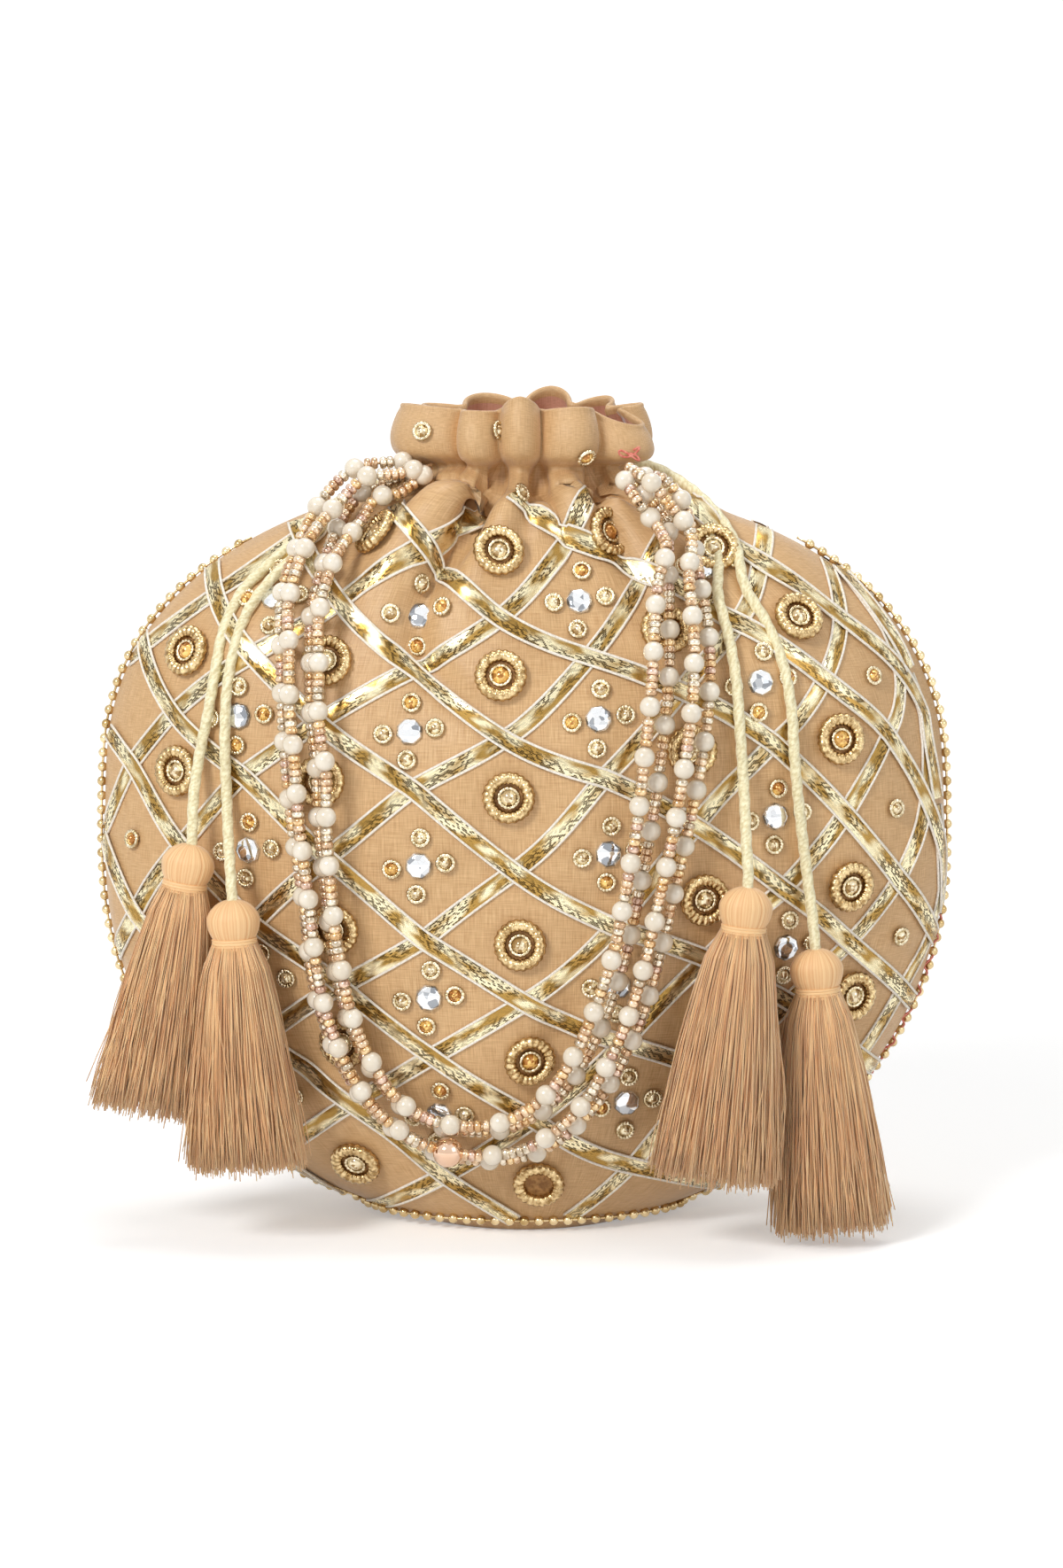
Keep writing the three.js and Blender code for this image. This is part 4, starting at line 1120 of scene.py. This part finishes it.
# %% Drawcords
CORD_DIAMETER = 3.3
CORD_LIFT = 1.8
CORD_IN_TASSEL = 28.0
CORD_SIDES = 18
CORD_LAY = 5.5
TASSELS = {
    # foot x and z, skirt width
    "left_outer": ((-110, 38), 32),
    "left_front": ((-80, 23), 34),
    "right_inner": ((55.5, 21), 37),
    "right_front": ((90, 4), 35),
}
DRAWCORDS = {
    "left_outer": [
        (-27, 222, 0), (-36, 221, 1), (-45, 216, 1), (-56, 211.8, -2), (-67, 202), (-75, 195), (-82, 188),
        (-87, 178), (-89.5, 166), (-91.5, 154), (-94, 142), (-95.5, 130, -39.5), (-96, 117.6, -42),
    ],
    "left_front": [
        (-27, 219, 0), (-36, 216.8, 0.5), (-46, 213.9, -2.5), (-57, 207.7, -10), (-67, 198), (-75, 190), (-80.5, 182),
        (-84, 172), (-86, 160), (-86.5, 145), (-86, 130), (-85, 116, -46), (-84, 102.6, -50),
    ],
    "right_inner": [
        (27, 221, -1), (36, 219, -4), (43, 216, -9), (50.5, 209.5, -14), (56, 199), (56, 188), (59, 176),
        (61, 164), (62, 150), (63, 136), (63.5, 121, -54), (64, 107.6, -58),
    ],
    "right_front": [
        (27, 223, 1), (36, 223, 2), (44, 219.5, 1), (53, 213, -5), (61, 202.5), (64, 190), (70, 180), (74.5, 169),
        (77, 156), (78, 141), (79.5, 126), (81.5, 110), (83, 98, -43), (84, 87.6, -46),
    ],
}  # fmt: skip


def tassel_axis(name):
    """Top and bottom of a tassel, straight down from its cord's last point to its foot in the same plane."""
    x, z, y = DRAWCORDS[name][-1]
    (foot_x, foot_z), _ = TASSELS[name]
    return np.array([x, y, z - 0.6]), np.array([foot_x, y, foot_z], float)


def cord_route(name):
    """Listed points of a drawcord, over the ribbons where they have no y of their own, and on into its tassel."""
    points = [route_point(spot, CORD_LIFT + CORD_DIAMETER / 2) for spot in DRAWCORDS[name]]
    top, bottom = tassel_axis(name)
    points += [top + unit(bottom - top) * reach for reach in (CORD_IN_TASSEL / 2, CORD_IN_TASSEL)]
    return smooth_path(points, 0.8)


cord_paths = {name: cord_route(name) for name in DRAWCORDS}
for name, path in cord_paths.items():
    points, faces, uv = tubes(path[None], CORD_DIAMETER / 2, CORD_SIDES, BESIDE_STRING)
    centre = np.repeat(np.concatenate([path[:1], path, path[-1:]]), CORD_SIDES + 1, axis=0)
    run = uv[:, 0] * path_length(path)
    ridges = 0.95 + 0.07 * np.cos(2 * math.pi * (3 * uv[:, 1] - run / CORD_LAY))
    new_piece(
        f"drawcord_{name}_satin", centre + (points - centre) * ridges[:, None], faces, [satin_cord], "satin_cord",
        np.stack([run / 60, uv[:, 1] - run / 16], axis=1), replaces=[f"drawcord_{name}"],
    )  # fmt: skip

# %% [markdown]
# A tassel is a hank of thread folded over the cord's end and bound. Its head is a small ball of thread, the binding
# four tight turns, and its skirt loose ends round a core. Each end is a fine tube on its own slightly wandering line.

# %% Tassel threads
THREADS = 1800
THREAD_STEPS = 9
THREAD_RADIUS = 0.18
STRAY_SHARE = 0.03
HEAD_LENGTH = 13.0
HEAD_WIDTH = 15.2
HEAD_FLATNESS = 0.86
SKIRT_FLATNESS = 0.55
SKIRT_TOP = 6.2
WAIST = 5.6
BINDINGS = 4

streaks = {"stretch": (1.2, 22, 1), "detail": 1, "low": 0.32, "high": 0.68}
rayon = {"Roughness": 0.55, "Sheen_Weight": 0.35, "Sheen_Roughness": 0.35}
tassel_thread = uneven_finish("tassel_thread", "UV", (226, 168, 114), (254, 218, 164), streaks, 0.3, **rayon)


def skirt_threads(length, width, seed):
    """Threads in the tassel's own frame: x and y grow from the waist to the hem as s^0.56, with sine wander."""
    luck = np.random.default_rng(seed)
    turn = luck.uniform(0, 2 * math.pi, THREADS)
    share = np.sqrt(luck.uniform(0.36, 1, THREADS))
    stray = np.where(luck.uniform(0, 1, THREADS) > 1 - STRAY_SHARE, 1.0, 0.0)
    s = np.linspace(0, 1, THREAD_STEPS)[None]
    reach = length - HEAD_LENGTH + luck.normal(-1, 1.5, THREADS) + stray * luck.uniform(-12, 2, THREADS)
    lobes = (0.93 + 0.07 * np.sin(3 * turn + seed))[:, None]
    radius = (SKIRT_TOP + (width / 2 - SKIRT_TOP) * s**0.56 * lobes) * share[:, None]
    wander = luck.normal(0, 0.9, (2, THREADS, 1)) * s + (1.0 + 2.2 * stray[:, None]) * s * np.sin(
        s * luck.uniform(2, 6, (2, THREADS, 1)) + luck.uniform(0, 6, (2, THREADS, 1))
    )
    x = radius * np.cos(turn)[:, None] + wander[0]
    y = radius * np.sin(turn)[:, None] * (0.85 - 0.25 * s) + wander[1] * 0.6
    z = -HEAD_LENGTH + 1 - s * reach[:, None] + 1.5 * s * (1 - share[:, None])
    points, faces, uv = tubes(np.stack([x, y, z], axis=-1), THREAD_RADIUS, 3, (1, 0.2, 0))
    shades = np.repeat(luck.uniform(0, 40, THREADS), len(uv) // THREADS)
    return points, faces, np.stack([shades, uv[:, 0] * 0.2], axis=1)


def turned_thread(profile, sides, streaks_round):
    """A turned part of a tassel with its UV running round it, so that streaks run down it."""
    points, cells = revolved(profile, sides)
    round_it = np.tile(np.linspace(0, 1, sides + 1), len(points) // (sides + 1))
    return points, cells[:, ::-1], np.stack([round_it * streaks_round, round_it * 0], axis=1)


for seed, (name, (_, width)) in enumerate(TASSELS.items()):
    top, bottom = tassel_axis(name)
    length = float(np.linalg.norm(top - bottom))
    up = unit(top - bottom)
    first = unit(np.cross([0, 1, 0], up))
    axes = np.stack([first, np.cross(up, first), up], axis=-1)
    head = HEAD_WIDTH / 2
    head_profile = [(0.6, 0.2), (3.2, -0.5), (5.6, -2.0), (head, -5), (head, -7.5), (head * 0.9, -10), (WAIST, -12)]
    head_profile = smooth_path([(r, 0, z) for r, z in head_profile], 0.8)[:, [0, 2]]
    core_profile = [(WAIST, -12), (WAIST + 2, -16), (width * 0.37, -length * 0.45), (width * 0.46, -length * 0.86)]
    core_profile += [(width * 0.3, 4 - length), (0, 4 - length)]
    shell, shell_cells, shell_uv = turned_thread(head_profile, 48, 46)
    core, core_cells, core_uv = turned_thread(core_profile, 32, 60)
    flat = 1 - (1 - SKIRT_FLATNESS) * smoothstep(-core[:, 2] / length * 2)
    core = core * np.stack([0 * flat + HEAD_FLATNESS, HEAD_FLATNESS * flat, 0 * flat + 1], axis=1)
    blocks = [(shell * (1, HEAD_FLATNESS, 1), shell_cells, shell_uv), (core, core_cells, core_uv)]
    for k in range(BINDINGS):
        band, cells = fluted_ring(WAIST + 0.55, 0.5, 1, 0.0, 40, 6, -11.6 - 0.8 * k)
        blocks.append((band * (1, HEAD_FLATNESS, 1), cells, np.full((len(band), 2), 3.0 + k)))
    blocks.append(skirt_threads(length, width, seed + 3))
    points, faces = merged(blocks)
    uv = np.concatenate([block[2] for block in blocks])
    tassel = new_piece(
        f"tassel_{name}_threads", points @ axes.T + top, faces, [tassel_thread], "silk_thread", uv,
        replaces=[f"tassel_{name}"],
    )  # fmt: skip
    path = cord_paths[name]

# %% [markdown]
# The floor is white and runs up behind the bag as the same sheet. For the camera, for mirrors and through glass it
# gets a little light of its own, so that it shows white while it still takes the bag's soft shadow.

# %% Floor and light
NEAR_GLOW = 0.32
FAR_GLOW = 0.62
GLOW_FROM = 0.25
GLOW_TO = 1.1
AMBIENT = 0.36
SHEET_SIDE = 4000
SHEET_FRONT = -3000
SHEET_BACK = 1500
SHEET_BEND = 700
SHEET_BELOW = 0.2
WHITE = (1, 1, 1, 1)


def seen_directly(tree):
    """1 for rays from the camera, off a mirror or through glass, and 0 for the light on the bag."""
    rays = put(tree, "LightPath", {}).outputs
    seen = rays["Is Camera Ray"]
    for kind in ("Is Glossy Ray", "Is Transmission Ray"):
        seen = put(tree, "Math", {0: seen, 1: rays[kind]}, operation="MAXIMUM").outputs[0]
    return seen


paper, paper_tree, paper_shader = finish("white_paper", Base_Color=(0.9, 0.9, 0.9, 1), Roughness=0.9)
away = put(paper_tree, "VectorMath", {0: put(paper_tree, "TexCoord", {}).outputs["Object"]}, operation="LENGTH")
reach = {"From Min": GLOW_FROM, "From Max": GLOW_TO, "To Min": NEAR_GLOW, "To Max": FAR_GLOW}
share = put(paper_tree, "MapRange", {"Value": away.outputs["Value"], **reach}).outputs[0]
glow = put(paper_tree, "Math", {0: seen_directly(paper_tree), 1: share}, operation="MULTIPLY").outputs[0]
paper_shader.inputs["Emission Color"].default_value = WHITE
paper_tree.links.new(glow, paper_shader.inputs["Emission Strength"])
bend = np.linspace(0.2, 1.57, 6)
run = np.concatenate([np.linspace(SHEET_FRONT, SHEET_BACK, 10), SHEET_BACK + SHEET_BEND * np.sin(bend)])[:, None]
rise = np.concatenate([np.zeros(10), SHEET_BEND * (1 - np.cos(bend))])[:, None] - SHEET_BELOW
sheet = np.stack(np.broadcast_arrays(np.array([[-SHEET_SIDE, SHEET_SIDE]], float), run, rise), axis=-1)
floor = new_piece("floor", sheet, grid_faces(len(run), 2), [paper])

world = bpy.data.worlds.new("soft_room")
world.use_nodes = True
scene.world = world
sky = next(node for node in world.node_tree.nodes if node.type == "BACKGROUND")
sky.inputs["Color"].default_value = WHITE
part = put(world.node_tree, "Math", {0: seen_directly(world.node_tree), 1: 1 - AMBIENT}, operation="MULTIPLY")
total = put(world.node_tree, "Math", {0: part.outputs[0], 1: AMBIENT}, operation="ADD")
world.node_tree.links.new(total.outputs[0], sky.inputs["Strength"])


LAMP_AIM = Vector((0, 0, 0.12))
SOFTBOXES = {
    # place in metres, side in metres, watts
    "key": ((-0.8, -1.2, 1.05), 0.45, 15),
    "fill": ((1.2, -1.0, 0.8), 0.8, 3.5),
    "top": ((0.1, 0.2, 1.5), 0.7, 7),
}
for name, (place, size, watts) in SOFTBOXES.items():
    lamp = bpy.data.lights.new(name, "AREA")
    lamp.size, lamp.energy = size, watts
    box = bpy.data.objects.new(name, lamp)
    box.location = place
    box.rotation_euler = (Vector(place) - LAMP_AIM).to_track_quat("Z", "Y").to_euler()
    scene.collection.objects.link(box)
scene.view_settings.view_transform = "Standard"
